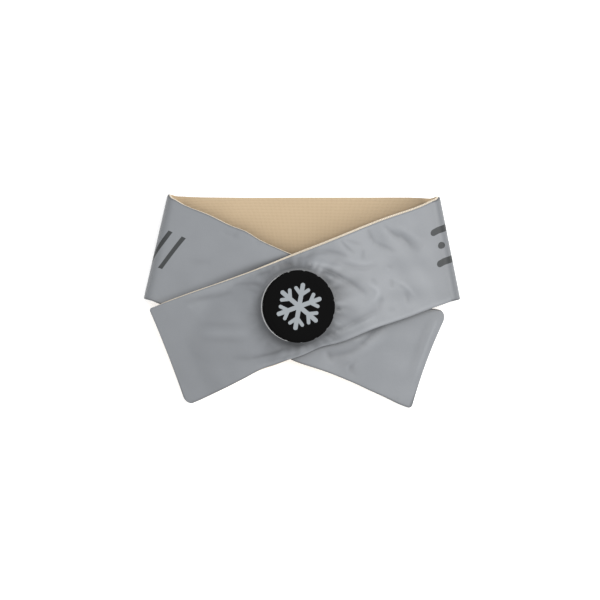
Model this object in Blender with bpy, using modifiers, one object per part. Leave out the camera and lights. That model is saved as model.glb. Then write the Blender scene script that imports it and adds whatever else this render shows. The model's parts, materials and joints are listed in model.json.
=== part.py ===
"""Cooling neck ring: a strip of two cloth layers, folded flat at both sides of the neck and crossed at
the front, with a filler mouth and a screw cap in the middle of the crossing. It lies on its back panel.

Metres, +X to the right of the wearer's view, +Y to the upper edge, +Z up from the surface it lies on.
"""

import math

import bmesh
import bpy
import numpy as np
from mathutils import Matrix, Vector

# Cloth strip
BAND_WIDTH = 0.073
FOLD_SPAN = 0.2115
OVER_LENGTH = 0.2177
UNDER_LENGTH = 0.2144
OVER_SLOPE = math.radians(20.95)
UNDER_SLOPE = math.radians(22.6)
LEFT_FOLD_LEAN = math.radians(13.0)
RIGHT_FOLD_LEAN = math.radians(11.3)
LEFT_FOLD_MIDDLE = Vector((-0.1052, 0.0379))
RIGHT_FOLD_RISE = -0.0006
FOLD_RADIUS = 0.0055
FOLD_BLEND = 0.045
LEFT_FOLD_TIP = 0.0024
RIGHT_FOLD_TIP = 0.0010
UNDER_BOW_UPPER = 0.0040
UNDER_BOW_LOWER = -0.0002
BACK_SAG = 0.0003
SHELL_WALL = 0.0010
LINING_WALL = 0.0012
CLOTH_GAP = 0.0003
EDGE_ROLL = 0.0010

# Free ends: how far the upper corner runs past the lower one, and the corner radii
OVER_END_SKEW = -0.0010
UNDER_END_SKEW = -0.0026
OVER_END_HOLLOW = 0.0008
UNDER_END_HOLLOW = 0.0018
OVER_UPPER_CORNER = 0.0018
OVER_LOWER_CORNER = 0.0060
UNDER_UPPER_CORNER = 0.0075
UNDER_LOWER_CORNER = 0.0035
END_ZONE = 0.030

# Crossing, from the floor up
CROSSING_HEIGHT = 0.015
PATCH_THICKNESS = 0.0015
PATCH_LENGTH = 0.046
PATCH_WIDTH = 0.038
POUCH_HEIGHT = 0.0064
POUCH_LENGTH = 0.062

# Filler mouth and screw cap, along the mouth's own axis from the middle of the clamped cloth
MOUTH_FROM_FOLD = 0.1180
MOUTH_LEAN = math.radians(7.5)
MOUTH_LEAN_HEADING = math.radians(7.0)
CAP_RADIUS = 0.0256
CAP_WALL = 0.0032
NECK_WALL = 0.0025
NECK_HEIGHT = 0.0115
UPPER_FLANGE_INSET = 0.0002
LOWER_FLANGE_REACH = 0.0035
UPPER_FLANGE_THICKNESS = 0.0022
LOWER_FLANGE_THICKNESS = 0.0018
THREAD_PITCH = 0.004
THREAD_TURNS = 1.5
THREAD_RADIUS = 0.0008
THREAD_TO_RIM = 0.0013
CLAMP_MARGIN = 0.0017
COLLAR_EDGE = 0.0004
FIT_GAP = 0.0003
SEAL_THICKNESS = 0.0017
SEAL_WIDTH = 0.0030
CAP_DRAFT = 0.0008
CAP_TOP_THICKNESS = 0.0020
CAP_THREAD_CLEARANCE = 0.0006
CAP_EDGE = 0.0008
NOTCH_COUNT = 15
NOTCH_DEPTH = 0.0008
NOTCH_RADIUS = 0.0016
NOTCH_LIP = 0.0030
NOTCH_PHASE = math.radians(9.0)

# Gathers where the cloth is drawn in round the mouth
GATHER_DEPTH = 0.0004
GATHER_REACH = 0.012
GATHER_BIAS = 0.35

# Mesh density
ROW_SHARES = (-1.0, -0.92, -0.76, -0.52, -0.26, 0.0, 0.26, 0.52, 0.76, 0.92, 1.0)
FOLD_STEPS = 10
BACK_STEPS = 8
UNDER_STEPS = 24
OVER_NEAR_STEPS = 9
OVER_END_STEPS = 8
RING_SHARES = (0.25, 0.5, 0.75)
TURN_STEPS = 48
CAP_TURN_STEPS = 60
THREAD_TURN_STEPS = 16
NOTCH_STEPS = 10
MERGE_DISTANCE = 0.00001

# Derived sizes
HALF_WIDTH = BAND_WIDTH / 2
OUTER_STEP = CLOTH_GAP / 2 + SHELL_WALL
INNER_STEP = CLOTH_GAP / 2 + LINING_WALL
BACK_HEIGHT = OUTER_STEP
FOLD_TOP = BACK_HEIGHT + 2 * FOLD_RADIUS
REST_HEIGHT = INNER_STEP
OVER_HEIGHT = CROSSING_HEIGHT + OUTER_STEP + PATCH_THICKNESS + 2 * FIT_GAP + INNER_STEP
STACK_CLEARANCE = OUTER_STEP + INNER_STEP + FIT_GAP
MOUTH_HEIGHT = OVER_HEIGHT + POUCH_HEIGHT
CAP_BORE = CAP_RADIUS - CAP_WALL
NECK_RADIUS = CAP_BORE - CAP_THREAD_CLEARANCE - THREAD_RADIUS
BORE_RADIUS = NECK_RADIUS - NECK_WALL
UPPER_FLANGE_RADIUS = CAP_RADIUS - UPPER_FLANGE_INSET
LOWER_FLANGE_RADIUS = NECK_RADIUS + LOWER_FLANGE_REACH
HOLE_RADIUS = NECK_RADIUS + FIT_GAP
CLAMP_RADIUS = UPPER_FLANGE_RADIUS + CLAMP_MARGIN
CLAMP_HALF = SHELL_WALL / 2 + FIT_GAP
CAP_BOTTOM = CLAMP_HALF + UPPER_FLANGE_THICKNESS + FIT_GAP
SEAL_BOTTOM = NECK_HEIGHT + FIT_GAP
CAP_CEILING = SEAL_BOTTOM + SEAL_THICKNESS + FIT_GAP
CAP_TOP = CAP_CEILING + CAP_TOP_THICKNESS

# Height of the strip's middle surface: share of the band's length from its fold, at its upper and lower edge
UNDER_HEIGHTS = (
    # share, upper, lower
    (0.00, FOLD_TOP, FOLD_TOP),
    (0.16, 0.94 * CROSSING_HEIGHT, 0.93 * CROSSING_HEIGHT),
    (0.30, CROSSING_HEIGHT, CROSSING_HEIGHT),
    (0.64, CROSSING_HEIGHT, CROSSING_HEIGHT),
    (0.75, 0.80 * CROSSING_HEIGHT, 0.70 * CROSSING_HEIGHT),
    (0.88, 0.42 * CROSSING_HEIGHT, 0.24 * CROSSING_HEIGHT),
    (1.00, REST_HEIGHT, REST_HEIGHT),
)
OVER_HEIGHTS = (
    # share, upper, lower
    (0.00, FOLD_TOP, FOLD_TOP),
    (0.18, 0.75 * OVER_HEIGHT, 0.74 * OVER_HEIGHT),
    (0.35, OVER_HEIGHT, OVER_HEIGHT),
    (0.72, OVER_HEIGHT, OVER_HEIGHT),
    (0.84, OVER_HEIGHT, 0.74 * OVER_HEIGHT),
    (0.93, 0.94 * OVER_HEIGHT, 0.30 * OVER_HEIGHT),
    (1.00, FOLD_TOP + 1.25 * STACK_CLEARANCE, REST_HEIGHT),
)

# Pulls on a band's edge: share of the band's length, pull inwards and reach as shares of the band's width
OVER_UPPER_PULLS = (
    # along, pull, reach
    (0.04, 0.046, 0.27),
    (0.33, 0.018, 0.48),
    (0.62, 0.025, 0.62),
)
OVER_LOWER_PULLS = (
    (0.74, 0.030, 0.28),
    (0.62, 0.030, 0.20),
    (1.00, -0.027, 0.33),
)
UNDER_UPPER_PULLS = (
    (0.03, 0.056, 0.22),
    (0.23, -0.023, 0.13),
    (0.99, -0.030, 0.12),
)
UNDER_LOWER_PULLS = (
    (0.56, -0.012, 0.16),
    (0.72, 0.014, 0.22),
    (0.96, -0.008, 0.14),
)
# Share of a fold's half turn after which its roll follows the pulls of its band
ROLL_PULL_START = 0.4

# Standing folds of the over band's shell: places as shares of the band's length and half width,
# turned from the band's direction, sizes as shares of the band's width
OVER_FOLDS = (
    # along, across, turn in degrees, length, width, height
    (0.405, 0.74, -4, 0.40, 0.075, 0.012),
    (0.416, 0.45, 43, 0.32, 0.080, 0.012),
    (0.703, -0.62, 6, 0.46, 0.080, 0.014),
    (0.400, -0.70, -6, 0.44, 0.080, 0.014),
    (0.325, 0.62, 80, 0.22, 0.075, 0.010),
    (0.230, 0.66, 66, 0.28, 0.080, 0.010),
    (0.159, 0.50, 60, 0.34, 0.085, 0.011),
    (0.330, -0.28, 25, 0.36, 0.100, 0.013),
    (0.780, 0.10, 4, 0.60, 0.110, 0.010),
    (0.820, -0.35, -8, 0.50, 0.110, 0.010),
)
# Folds and dents of the under band's free end, both layers together
UNDER_FOLDS = (
    # along, across, turn in degrees, length, width, height
    (0.800, -0.10, 30, 0.30, 0.110, 0.012),
    (0.700, -0.62, 50, 0.26, 0.100, 0.010),
    (0.880, 0.25, -35, 0.30, 0.120, 0.011),
    (0.100, 0.30, -10, 0.50, 0.120, 0.006),
)


def read_rows(rows, share, column):
    """Read a column of a table at a share of the length, with a smooth curve that never overshoots."""
    table = np.array(rows, dtype=float)
    places, values = table[:, 0], table[:, column]
    steps = np.diff(values) / np.diff(places)
    slopes = np.zeros(len(places))
    for index in range(1, len(places) - 1):
        before, after = steps[index - 1], steps[index]
        if before * after > 0:
            slopes[index] = 2 * before * after / (before + after)
    slopes[-1] = steps[-1]
    index = int(np.clip(np.searchsorted(places, share) - 1, 0, len(steps) - 1))
    width = places[index + 1] - places[index]
    part = min(max((share - places[index]) / width, 0.0), 1.0)
    rest = 1 - part
    return float(
        values[index] * rest * rest * (1 + 2 * part)
        + values[index + 1] * part * part * (3 - 2 * part)
        + width * slopes[index] * part * rest * rest
        - width * slopes[index + 1] * part * part * rest
    )


def ease(value):
    """Smooth step from 0 to 1."""
    value = min(max(value, 0.0), 1.0)
    return value * value * (3 - 2 * value)


def heading(angle):
    return Vector((math.cos(angle), math.sin(angle)))


class FoldEdge:
    """One side fold: its line in plan, and the axis of the roll inside it."""

    def __init__(self, middle, lean, side, tip):
        self.middle = middle
        self.tip = tip
        self.up = Vector((-side * math.sin(lean), math.cos(lean)))
        self.outward = Vector((side * math.cos(lean), math.sin(lean)))
        self.stretch = 1 / math.cos(lean)
        self.inset = FOLD_RADIUS + OUTER_STEP

    def axis_point(self, across):
        reach = across * self.stretch + self.tip * max(across / HALF_WIDTH, 0.0) ** 3
        return self.middle - self.outward * self.inset + self.up * reach

    def roll_point(self, across, angle):
        """Point on the roll; angle 0 is the back panel's end, pi is the front band's start."""
        plan = self.axis_point(across) + self.outward * FOLD_RADIUS * math.sin(angle)
        return Vector((plan.x, plan.y, BACK_HEIGHT + FOLD_RADIUS * (1 - math.cos(angle))))


class FrontBand:
    """One front band in plan: along its slope from its fold, and across to its upper edge."""

    def __init__(self, fold, direction, across, length, end_skew, end_hollow, corners, pulls):
        self.pulls = pulls
        self.fold = fold
        self.direction = direction
        self.across = across
        self.inset = fold.inset * -fold.outward.dot(direction)
        self.run = length - self.inset
        self.end_skew = end_skew
        self.end_hollow = end_hollow
        self.corners = corners

    def end_run(self, across):
        """Length of the band at this distance across, with its skewed end and round corners."""
        radius = self.corners[0] if across > 0 else self.corners[1]
        depth = max(abs(across) - (HALF_WIDTH - radius), 0.0)
        depth = min(depth, radius)
        cut = radius - math.sqrt(radius * radius - depth * depth)
        hollow = self.end_hollow * (1 - (across / HALF_WIDTH) ** 2)
        return self.run + self.end_skew * across / BAND_WIDTH - hollow - cut

    def pull(self, along, across):
        """How far the pulls on the edges move the cloth here, across the band."""
        total = 0.0
        for side, rows in zip((1, -1), self.pulls):
            near_edge = max(side * across / HALF_WIDTH, 0.0) ** 3
            for place, depth, reach in rows:
                near = math.exp(-(((along - place * self.run) / (reach * BAND_WIDTH)) ** 2))
                total -= side * depth * BAND_WIDTH * near_edge * near
        return self.across * total

    def plan(self, along, across, shift=0.0):
        from_fold = self.fold.axis_point(across) + self.direction * along
        start = self.fold.middle + self.direction * self.inset
        straight = start + self.direction * along + self.across * (across + shift)
        return straight.lerp(from_fold, 1 - ease(along / FOLD_BLEND)) + self.pull(along, across)

    def roll_point(self, across, angle):
        """Point on the roll of the band's own fold, whose upper part follows the pulls on the edges."""
        point = self.fold.roll_point(across, angle)
        share = ease((angle / math.pi - ROLL_PULL_START) / (1 - ROLL_PULL_START))
        point.xy += self.pull(0.0, across) * share
        return point


RIGHT_FOLD_MIDDLE = LEFT_FOLD_MIDDLE + Vector((FOLD_SPAN, RIGHT_FOLD_RISE))
LEFT_FOLD = FoldEdge(LEFT_FOLD_MIDDLE, LEFT_FOLD_LEAN, -1, LEFT_FOLD_TIP)
RIGHT_FOLD = FoldEdge(RIGHT_FOLD_MIDDLE, RIGHT_FOLD_LEAN, 1, RIGHT_FOLD_TIP)
OVER = FrontBand(
    RIGHT_FOLD,
    heading(math.pi + OVER_SLOPE),
    heading(math.pi / 2 + OVER_SLOPE),
    OVER_LENGTH,
    OVER_END_SKEW,
    OVER_END_HOLLOW,
    (OVER_UPPER_CORNER, OVER_LOWER_CORNER),
    (OVER_UPPER_PULLS, OVER_LOWER_PULLS),
)
UNDER = FrontBand(
    LEFT_FOLD,
    heading(-UNDER_SLOPE),
    heading(math.pi / 2 - UNDER_SLOPE),
    UNDER_LENGTH,
    UNDER_END_SKEW,
    UNDER_END_HOLLOW,
    (UNDER_UPPER_CORNER, UNDER_LOWER_CORNER),
    (UNDER_UPPER_PULLS, UNDER_LOWER_PULLS),
)
MOUTH_ALONG = MOUTH_FROM_FOLD - OVER.inset
MOUTH_PLAN = OVER.plan(MOUTH_ALONG, 0.0)
MOUTH_AXIS = Vector(
    (
        math.sin(MOUTH_LEAN) * math.cos(MOUTH_LEAN_HEADING),
        math.sin(MOUTH_LEAN) * math.sin(MOUTH_LEAN_HEADING),
        math.cos(MOUTH_LEAN),
    )
)

# Places along the flat strip, from the under band's free end to the over band's
ROLL_LENGTH = math.pi * FOLD_RADIUS
BACK_RUN = (RIGHT_FOLD.axis_point(0.0) - LEFT_FOLD.axis_point(0.0)).length
UNDER_FOLD_AT = UNDER.run
BACK_START_AT = UNDER_FOLD_AT + ROLL_LENGTH
BACK_END_AT = BACK_START_AT + BACK_RUN
OVER_FOLD_AT = BACK_END_AT + ROLL_LENGTH
STRIP_LENGTH = OVER_FOLD_AT + OVER.run
MOUTH_AT = OVER_FOLD_AT + MOUTH_ALONG


def standing_folds(rows, band, along, across):
    """Height that the folds in a table add at a place on a band."""
    total = 0.0
    for place_along, place_across, turn, length, width, height in rows:
        step = Vector((along - place_along * band.run, across - place_across * HALF_WIDTH))
        line = heading(math.radians(turn))
        lengthwise = step.dot(line) / (length * BAND_WIDTH / 2)
        sideways = (step.x * line.y - step.y * line.x) / (width * BAND_WIDTH)
        total += height * BAND_WIDTH * math.exp(-(lengthwise**2) - sideways**2)
    return total


def mouth_plane_height(plan):
    """Height of the tilted plane in which the cloth is clamped."""
    step = plan - MOUTH_PLAN
    return MOUTH_HEIGHT - (step.x * MOUTH_AXIS.x + step.y * MOUTH_AXIS.y) / MOUTH_AXIS.z


def gathers(radius, angle):
    """Small radial pleats outside the collar, deepest next to it and on the side of the free end."""
    outside = (radius - CLAMP_RADIUS) / GATHER_REACH
    if not 0 < outside < 1:
        return 0.0
    pleats = math.cos(2 * (len(ROW_SHARES) - 1) * angle)
    return GATHER_DEPTH * pleats * math.sin(math.pi * outside) * (1 + GATHER_BIAS * math.cos(angle))


def pouch_share(along, across):
    """How far the shell is lifted off the lining: 1 inside the clamped ring, 0 at the pouch's edge."""
    radius = math.hypot(along, across)
    if radius <= CLAMP_RADIUS:
        return 1.0
    side, end = across / radius, along / radius
    limit = 1 / math.hypot(end / POUCH_LENGTH, side / HALF_WIDTH)
    return 1 - ease((radius - CLAMP_RADIUS) / (limit - CLAMP_RADIUS))


def over_point(along, across, layer):
    step = along - MOUTH_ALONG
    lifted = pouch_share(step, across)
    plan = OVER.plan(along, across) - OVER.pull(along, across) * lifted
    share = along / OVER.run
    side = 0.5 + across / BAND_WIDTH
    upper, lower = (read_rows(OVER_HEIGHTS, share, column) for column in (1, 2))
    height = lower + (upper - lower) * side
    if layer == "shell":
        edge = 1 - min(abs(across) / HALF_WIDTH, 1.0) ** 6
        height += standing_folds(OVER_FOLDS, OVER, along, across) * edge * (1 - lifted)
        height += lifted * (mouth_plane_height(plan) - height)
        height += gathers(math.hypot(step, across), math.atan2(across, step))
    return Vector((plan.x, plan.y, height))


def under_point(along, across):
    share = along / UNDER.run
    side = 0.5 + across / BAND_WIDTH
    bow = (UNDER_BOW_LOWER + (UNDER_BOW_UPPER - UNDER_BOW_LOWER) * side) * 4 * share * (1 - share)
    plan = UNDER.plan(along, across, -bow)
    upper, lower = (read_rows(UNDER_HEIGHTS, share, column) for column in (1, 2))
    height = lower + (upper - lower) * side
    edge = 1 - min(abs(across) / HALF_WIDTH, 1.0) ** 6
    height += standing_folds(UNDER_FOLDS, UNDER, along, across) * edge
    return Vector((plan.x, plan.y, height))


def back_point(share, across):
    plan = LEFT_FOLD.axis_point(across).lerp(RIGHT_FOLD.axis_point(across), share)
    sag = BACK_SAG * 4 * share * (1 - share)
    return Vector((plan.x, plan.y - sag, BACK_HEIGHT))


def wrap(flat, layer):
    """Carry a point of the flat strip to its place on the folded and crossed one."""
    place, across = flat.x, flat.y
    if place <= UNDER_FOLD_AT:
        return under_point(UNDER_FOLD_AT - place, across)
    if place < BACK_START_AT:
        return UNDER.roll_point(across, math.pi - (place - UNDER_FOLD_AT) / FOLD_RADIUS)
    if place <= BACK_END_AT:
        return back_point((place - BACK_START_AT) / BACK_RUN, across)
    if place < OVER_FOLD_AT:
        return OVER.roll_point(across, (place - BACK_END_AT) / FOLD_RADIUS)
    return over_point(place - OVER_FOLD_AT, across, layer)


def stations():
    """Cross lines of the flat strip, close together round the folds."""
    spans = (
        (0.0, UNDER_FOLD_AT, UNDER_STEPS),
        (UNDER_FOLD_AT, BACK_START_AT, FOLD_STEPS),
        (BACK_START_AT, BACK_END_AT, BACK_STEPS),
        (BACK_END_AT, OVER_FOLD_AT, FOLD_STEPS),
        (OVER_FOLD_AT, MOUTH_AT - HALF_WIDTH, OVER_NEAR_STEPS),
    )
    places = [start + (end - start) * step / count for start, end, count in spans for step in range(count)]
    places += [MOUTH_AT + share * HALF_WIDTH for share in ROW_SHARES[:-1]]
    end_start = MOUTH_AT + HALF_WIDTH
    step = (STRIP_LENGTH - end_start) / OVER_END_STEPS
    places += [end_start + step * index for index in range(OVER_END_STEPS + 1)]
    return places


def trim_end(place, across):
    """Move the last cross lines so that both free ends get their skew and round corners."""
    if place < END_ZONE:
        length = UNDER.end_run(across) - (UNDER.run - END_ZONE)
        return END_ZONE - (END_ZONE - place) * length / END_ZONE
    if place > STRIP_LENGTH - END_ZONE:
        start = STRIP_LENGTH - END_ZONE
        length = OVER.end_run(across) - (OVER.run - END_ZONE)
        return start + (place - start) * length / END_ZONE
    return place


def flat_strip(upper_extra):
    """The flat strip as a grid, its upper edge widened by upper_extra."""
    places = stations()
    pattern = bmesh.new()
    bmesh.ops.create_grid(
        pattern, x_segments=len(places) - 1, y_segments=len(ROW_SHARES) - 1, size=0.5
    )
    for vert in pattern.verts:
        column = round((vert.co.x + 0.5) * (len(places) - 1))
        row = round((vert.co.y + 0.5) * (len(ROW_SHARES) - 1))
        across = ROW_SHARES[row] * HALF_WIDTH
        place = trim_end(places[column], across)
        if row == len(ROW_SHARES) - 1:
            across += upper_extra
        vert.co = Vector((place, across, 0.0))
    return pattern


def cut_mouth(pattern):
    """Replace the square round the mouth by rings that run from the square in to a round hole."""
    square = [
        face
        for face in pattern.faces
        if abs(face.calc_center_median().x - MOUTH_AT) < HALF_WIDTH
    ]
    bmesh.ops.delete(pattern, geom=square, context="FACES_KEEP_BOUNDARY")
    centre = Vector((MOUTH_AT, 0.0, 0.0))
    around = [
        vert
        for vert in pattern.verts
        if abs(max(abs(vert.co.x - MOUTH_AT), abs(vert.co.y)) - HALF_WIDTH) < MERGE_DISTANCE
    ]
    around.sort(key=lambda vert: math.atan2(vert.co.y, vert.co.x - MOUTH_AT))
    count = len(around)
    loops = [around]
    corner_place = centre + Vector((HALF_WIDTH, -HALF_WIDTH, 0.0))
    corner = min(range(count), key=lambda k: (around[k].co - corner_place).length)
    angles = [2 * math.pi * (k - corner) / count - math.pi / 4 for k in range(count)]

    def on_circle(k, radius):
        return centre + Vector((math.cos(angles[k]), math.sin(angles[k]), 0.0)) * radius

    for share in reversed((0.0,) + RING_SHARES):
        loops.append(
            [
                pattern.verts.new(on_circle(k, CLAMP_RADIUS).lerp(around[k].co, share))
                for k in range(count)
            ]
        )
    loops.append([pattern.verts.new(on_circle(k, HOLE_RADIUS)) for k in range(count)])
    for outer, nearer in zip(loops, loops[1:]):
        for k in range(count):
            after = (k + 1) % count
            pattern.faces.new((outer[k], outer[after], nearer[after], nearer[k]))


def make_material(name, colour, roughness, metallic=0.0):
    material = bpy.data.materials.new(name)
    material.use_nodes = True
    shader = material.node_tree.nodes["Principled BSDF"]
    shader.inputs["Base Color"].default_value = (*colour, 1.0)
    shader.inputs["Roughness"].default_value = roughness
    shader.inputs["Metallic"].default_value = metallic
    material.diffuse_color = (*colour, 1.0)
    return material


def add_object(name, mesh, collection, material=None, smooth_angle=40.0):
    thing = bpy.data.objects.new(name, mesh)
    collection.objects.link(thing)
    if material:
        mesh.materials.append(material)
    if len(mesh.polygons):
        mesh.shade_smooth()
        mesh.set_sharp_from_angle(angle=math.radians(smooth_angle))
    return thing


def mesh_from(bm, name):
    mesh = bpy.data.meshes.new(name)
    bm.to_mesh(mesh)
    bm.free()
    return mesh


def make_cloth(name, layer, collection, material):
    """One cloth layer: the flat strip, wrapped, moved off the middle surface and given its wall."""
    is_shell = layer == "shell"
    pattern = flat_strip(0.0 if is_shell else EDGE_ROLL)
    if is_shell:
        cut_mouth(pattern)
    for vert in pattern.verts:
        vert.co = wrap(vert.co, layer)
    bmesh.ops.reverse_faces(pattern, faces=pattern.faces)
    pattern.normal_update()
    side = 1 if is_shell else -1
    moved = [(vert, vert.co + vert.normal * side * CLOTH_GAP / 2) for vert in pattern.verts]
    for vert, place in moved:
        vert.co = place
    cloth = add_object(name, mesh_from(pattern, name), collection, material)
    wall = cloth.modifiers.new("Wall", "SOLIDIFY")
    wall.thickness = SHELL_WALL if is_shell else LINING_WALL
    wall.offset = side
    wall.use_even_offset = True
    return cloth


def profile_object(name, points, collection, material, steps, closed):
    """Turn a profile of radius and height about the object's own Z."""
    mesh = bpy.data.meshes.new(name)
    edges = [(k, k + 1) for k in range(len(points) - 1)]
    if closed:
        edges.append((len(points) - 1, 0))
    mesh.from_pydata([(radius, 0.0, height) for radius, height in points], edges, [])
    thing = add_object(name, mesh, collection, material)
    turn = thing.modifiers.new("Turn", "SCREW")
    turn.angle = 2 * math.pi
    turn.steps = steps
    turn.render_steps = steps
    turn.use_merge_vertices = True
    turn.merge_threshold = MERGE_DISTANCE
    return thing


def make_thread(collection):
    """Round screw thread: a helix tube that is joined to the neck."""
    curve = bpy.data.curves.new("thread", "CURVE")
    curve.dimensions = "3D"
    curve.bevel_depth = THREAD_RADIUS
    curve.bevel_resolution = 1
    curve.use_fill_caps = True
    count = int(THREAD_TURNS * THREAD_TURN_STEPS) + 1
    spline = curve.splines.new("POLY")
    spline.points.add(count - 1)
    low = NECK_HEIGHT - THREAD_TO_RIM - THREAD_PITCH * THREAD_TURNS
    for k, point in enumerate(spline.points):
        angle = 2 * math.pi * THREAD_TURNS * k / (count - 1)
        height = low + THREAD_PITCH * THREAD_TURNS * k / (count - 1)
        point.co = (NECK_RADIUS * math.cos(angle), NECK_RADIUS * math.sin(angle), height, 1.0)
    helix = bpy.data.objects.new("thread_curve", curve)
    collection.objects.link(helix)
    bpy.context.view_layer.update()
    graph = bpy.context.evaluated_depsgraph_get()
    mesh = bpy.data.meshes.new_from_object(helix.evaluated_get(graph))
    bpy.data.objects.remove(helix)
    tube = bmesh.new()
    tube.from_mesh(mesh)
    bmesh.ops.remove_doubles(tube, verts=tube.verts, dist=MERGE_DISTANCE)
    bmesh.ops.recalc_face_normals(tube, faces=tube.faces)
    return add_object("thread", mesh_from(tube, "thread"), collection)


def make_cutter(thing):
    thing.hide_render = True
    thing.display_type = "WIRE"


def join_solid(thing, other, operation):
    change = thing.modifiers.new(operation.title(), "BOOLEAN")
    change.operation = operation
    change.solver = "EXACT"
    change.object = other


def make_collar(parts, cutters, material, mouth):
    edge = COLLAR_EDGE
    upper = CLAMP_HALF + UPPER_FLANGE_THICKNESS
    lower = -CLAMP_HALF - LOWER_FLANGE_THICKNESS
    points = (
        (BORE_RADIUS, NECK_HEIGHT),
        (NECK_RADIUS - edge, NECK_HEIGHT),
        (NECK_RADIUS, NECK_HEIGHT - edge),
        (NECK_RADIUS, upper),
        (UPPER_FLANGE_RADIUS - 2 * edge, upper),
        (UPPER_FLANGE_RADIUS, upper - 2 * edge),
        (UPPER_FLANGE_RADIUS, CLAMP_HALF + edge),
        (UPPER_FLANGE_RADIUS - edge, CLAMP_HALF),
        (NECK_RADIUS, CLAMP_HALF),
        (NECK_RADIUS, -CLAMP_HALF),
        (LOWER_FLANGE_RADIUS - edge, -CLAMP_HALF),
        (LOWER_FLANGE_RADIUS, -CLAMP_HALF - edge),
        (LOWER_FLANGE_RADIUS, lower),
        (BORE_RADIUS, lower),
    )
    collar = profile_object("mouth_collar", points, parts, material, TURN_STEPS, True)
    collar.parent = mouth
    thread = make_thread(cutters)
    thread.parent = mouth
    make_cutter(thread)
    join_solid(collar, thread, "UNION")


def make_seal(parts, material, mouth):
    outer = NECK_RADIUS
    inner = outer - SEAL_WIDTH
    top = SEAL_BOTTOM + SEAL_THICKNESS
    points = ((inner, top), (outer, top), (outer, SEAL_BOTTOM), (inner, SEAL_BOTTOM))
    seal = profile_object("seal_ring", points, parts, material, TURN_STEPS, True)
    seal.parent = mouth


def make_cap(parts, cutters, material, mouth):
    points = (
        (0.0, CAP_TOP),
        (CAP_RADIUS - CAP_EDGE, CAP_TOP),
        (CAP_RADIUS - 0.3 * CAP_EDGE, CAP_TOP - 0.3 * CAP_EDGE),
        (CAP_RADIUS, CAP_TOP - CAP_EDGE),
        (CAP_RADIUS - CAP_DRAFT, CAP_BOTTOM + CAP_EDGE / 2),
        (CAP_RADIUS - CAP_DRAFT - CAP_EDGE / 2, CAP_BOTTOM),
        (CAP_BORE, CAP_BOTTOM),
        (CAP_BORE, CAP_CEILING),
        (0.0, CAP_CEILING),
    )
    cap = profile_object("cap", points, parts, material, CAP_TURN_STEPS, False)
    cap.parent = mouth
    grips = bmesh.new()
    height = CAP_TOP - CAP_BOTTOM
    for k in range(NOTCH_COUNT):
        angle = NOTCH_PHASE + 2 * math.pi * k / NOTCH_COUNT
        reach = CAP_RADIUS + NOTCH_RADIUS - NOTCH_DEPTH
        place = Matrix.Translation(
            (
                reach * math.cos(angle),
                reach * math.sin(angle),
                CAP_BOTTOM + NOTCH_LIP + height / 2,
            )
        )
        bmesh.ops.create_cone(
            grips,
            cap_ends=True,
            segments=NOTCH_STEPS,
            radius1=NOTCH_RADIUS,
            radius2=NOTCH_RADIUS,
            depth=height,
            matrix=place,
        )
    cutter = add_object("grip_notches", mesh_from(grips, "grip_notches"), cutters)
    cutter.parent = mouth
    make_cutter(cutter)
    join_solid(cap, cutter, "DIFFERENCE")


def make_patch(parts, material):
    """Plain closure patch between the crossed bands, laid along the over band."""
    block = bmesh.new()
    bmesh.ops.create_cube(block, size=1.0)
    height = CROSSING_HEIGHT + OUTER_STEP + FIT_GAP + PATCH_THICKNESS / 2
    scale = Matrix.Diagonal((PATCH_LENGTH, PATCH_WIDTH, PATCH_THICKNESS, 1.0))
    turn = Matrix.Rotation(OVER_SLOPE, 4, "Z")
    place = Matrix.Translation((*MOUTH_PLAN, height))
    bmesh.ops.transform(block, matrix=place @ turn @ scale, verts=block.verts)
    patch = add_object("closure_patch", mesh_from(block, "closure_patch"), parts, material)
    bevel = patch.modifiers.new("Edges", "BEVEL")
    bevel.width = PATCH_THICKNESS / 4
    bevel.segments = 1


def main():
    for thing in list(bpy.data.objects):
        bpy.data.objects.remove(thing)
    parts = bpy.data.collections.new("cooling_neck_ring")
    cutters = bpy.data.collections.new("joined_and_cut_shapes")
    for collection in (parts, cutters):
        bpy.context.scene.collection.children.link(collection)

    coated = make_material("coated_cloth", (0.31, 0.32, 0.34), 0.55)
    knit = make_material("lining_knit", (0.62, 0.48, 0.32), 0.85)
    tape = make_material("closure_tape", (0.45, 0.45, 0.46), 0.9)
    grey_plastic = make_material("collar_plastic", (0.52, 0.53, 0.55), 0.4)
    black_plastic = make_material("cap_plastic", (0.008, 0.008, 0.008), 0.45)
    rubber = make_material("seal_rubber", (0.6, 0.6, 0.58), 0.6)

    mouth = bpy.data.objects.new("mouth", None)
    parts.objects.link(mouth)
    up = Vector((0.0, 0.0, 1.0))
    middle_of_cloth = CLOTH_GAP / 2 + SHELL_WALL / 2
    mouth.location = Vector((*MOUTH_PLAN, MOUTH_HEIGHT)) + MOUTH_AXIS * middle_of_cloth
    mouth.rotation_mode = "QUATERNION"
    mouth.rotation_quaternion = up.rotation_difference(MOUTH_AXIS)

    make_cloth("band_shell", "shell", parts, coated)
    make_cloth("band_lining", "lining", parts, knit)
    make_patch(parts, tape)
    make_collar(parts, cutters, grey_plastic, mouth)
    make_seal(parts, rubber, mouth)
    make_cap(parts, cutters, black_plastic, mouth)


main()
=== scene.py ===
# %% [markdown]
# # A cooling neck ring
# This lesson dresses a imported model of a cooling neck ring. The ring is one long strip of cloth, coated
# woven nylon outside and a fine knit inside. It is folded flat at both sides of the neck and its ends cross
# at the front, where a screw cap closes the mouth of the pouch for ice. It lies on its back and is seen
# from above.

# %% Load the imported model
import json
import math

import bpy
import numpy as np
from mathutils import Matrix, Vector

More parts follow.
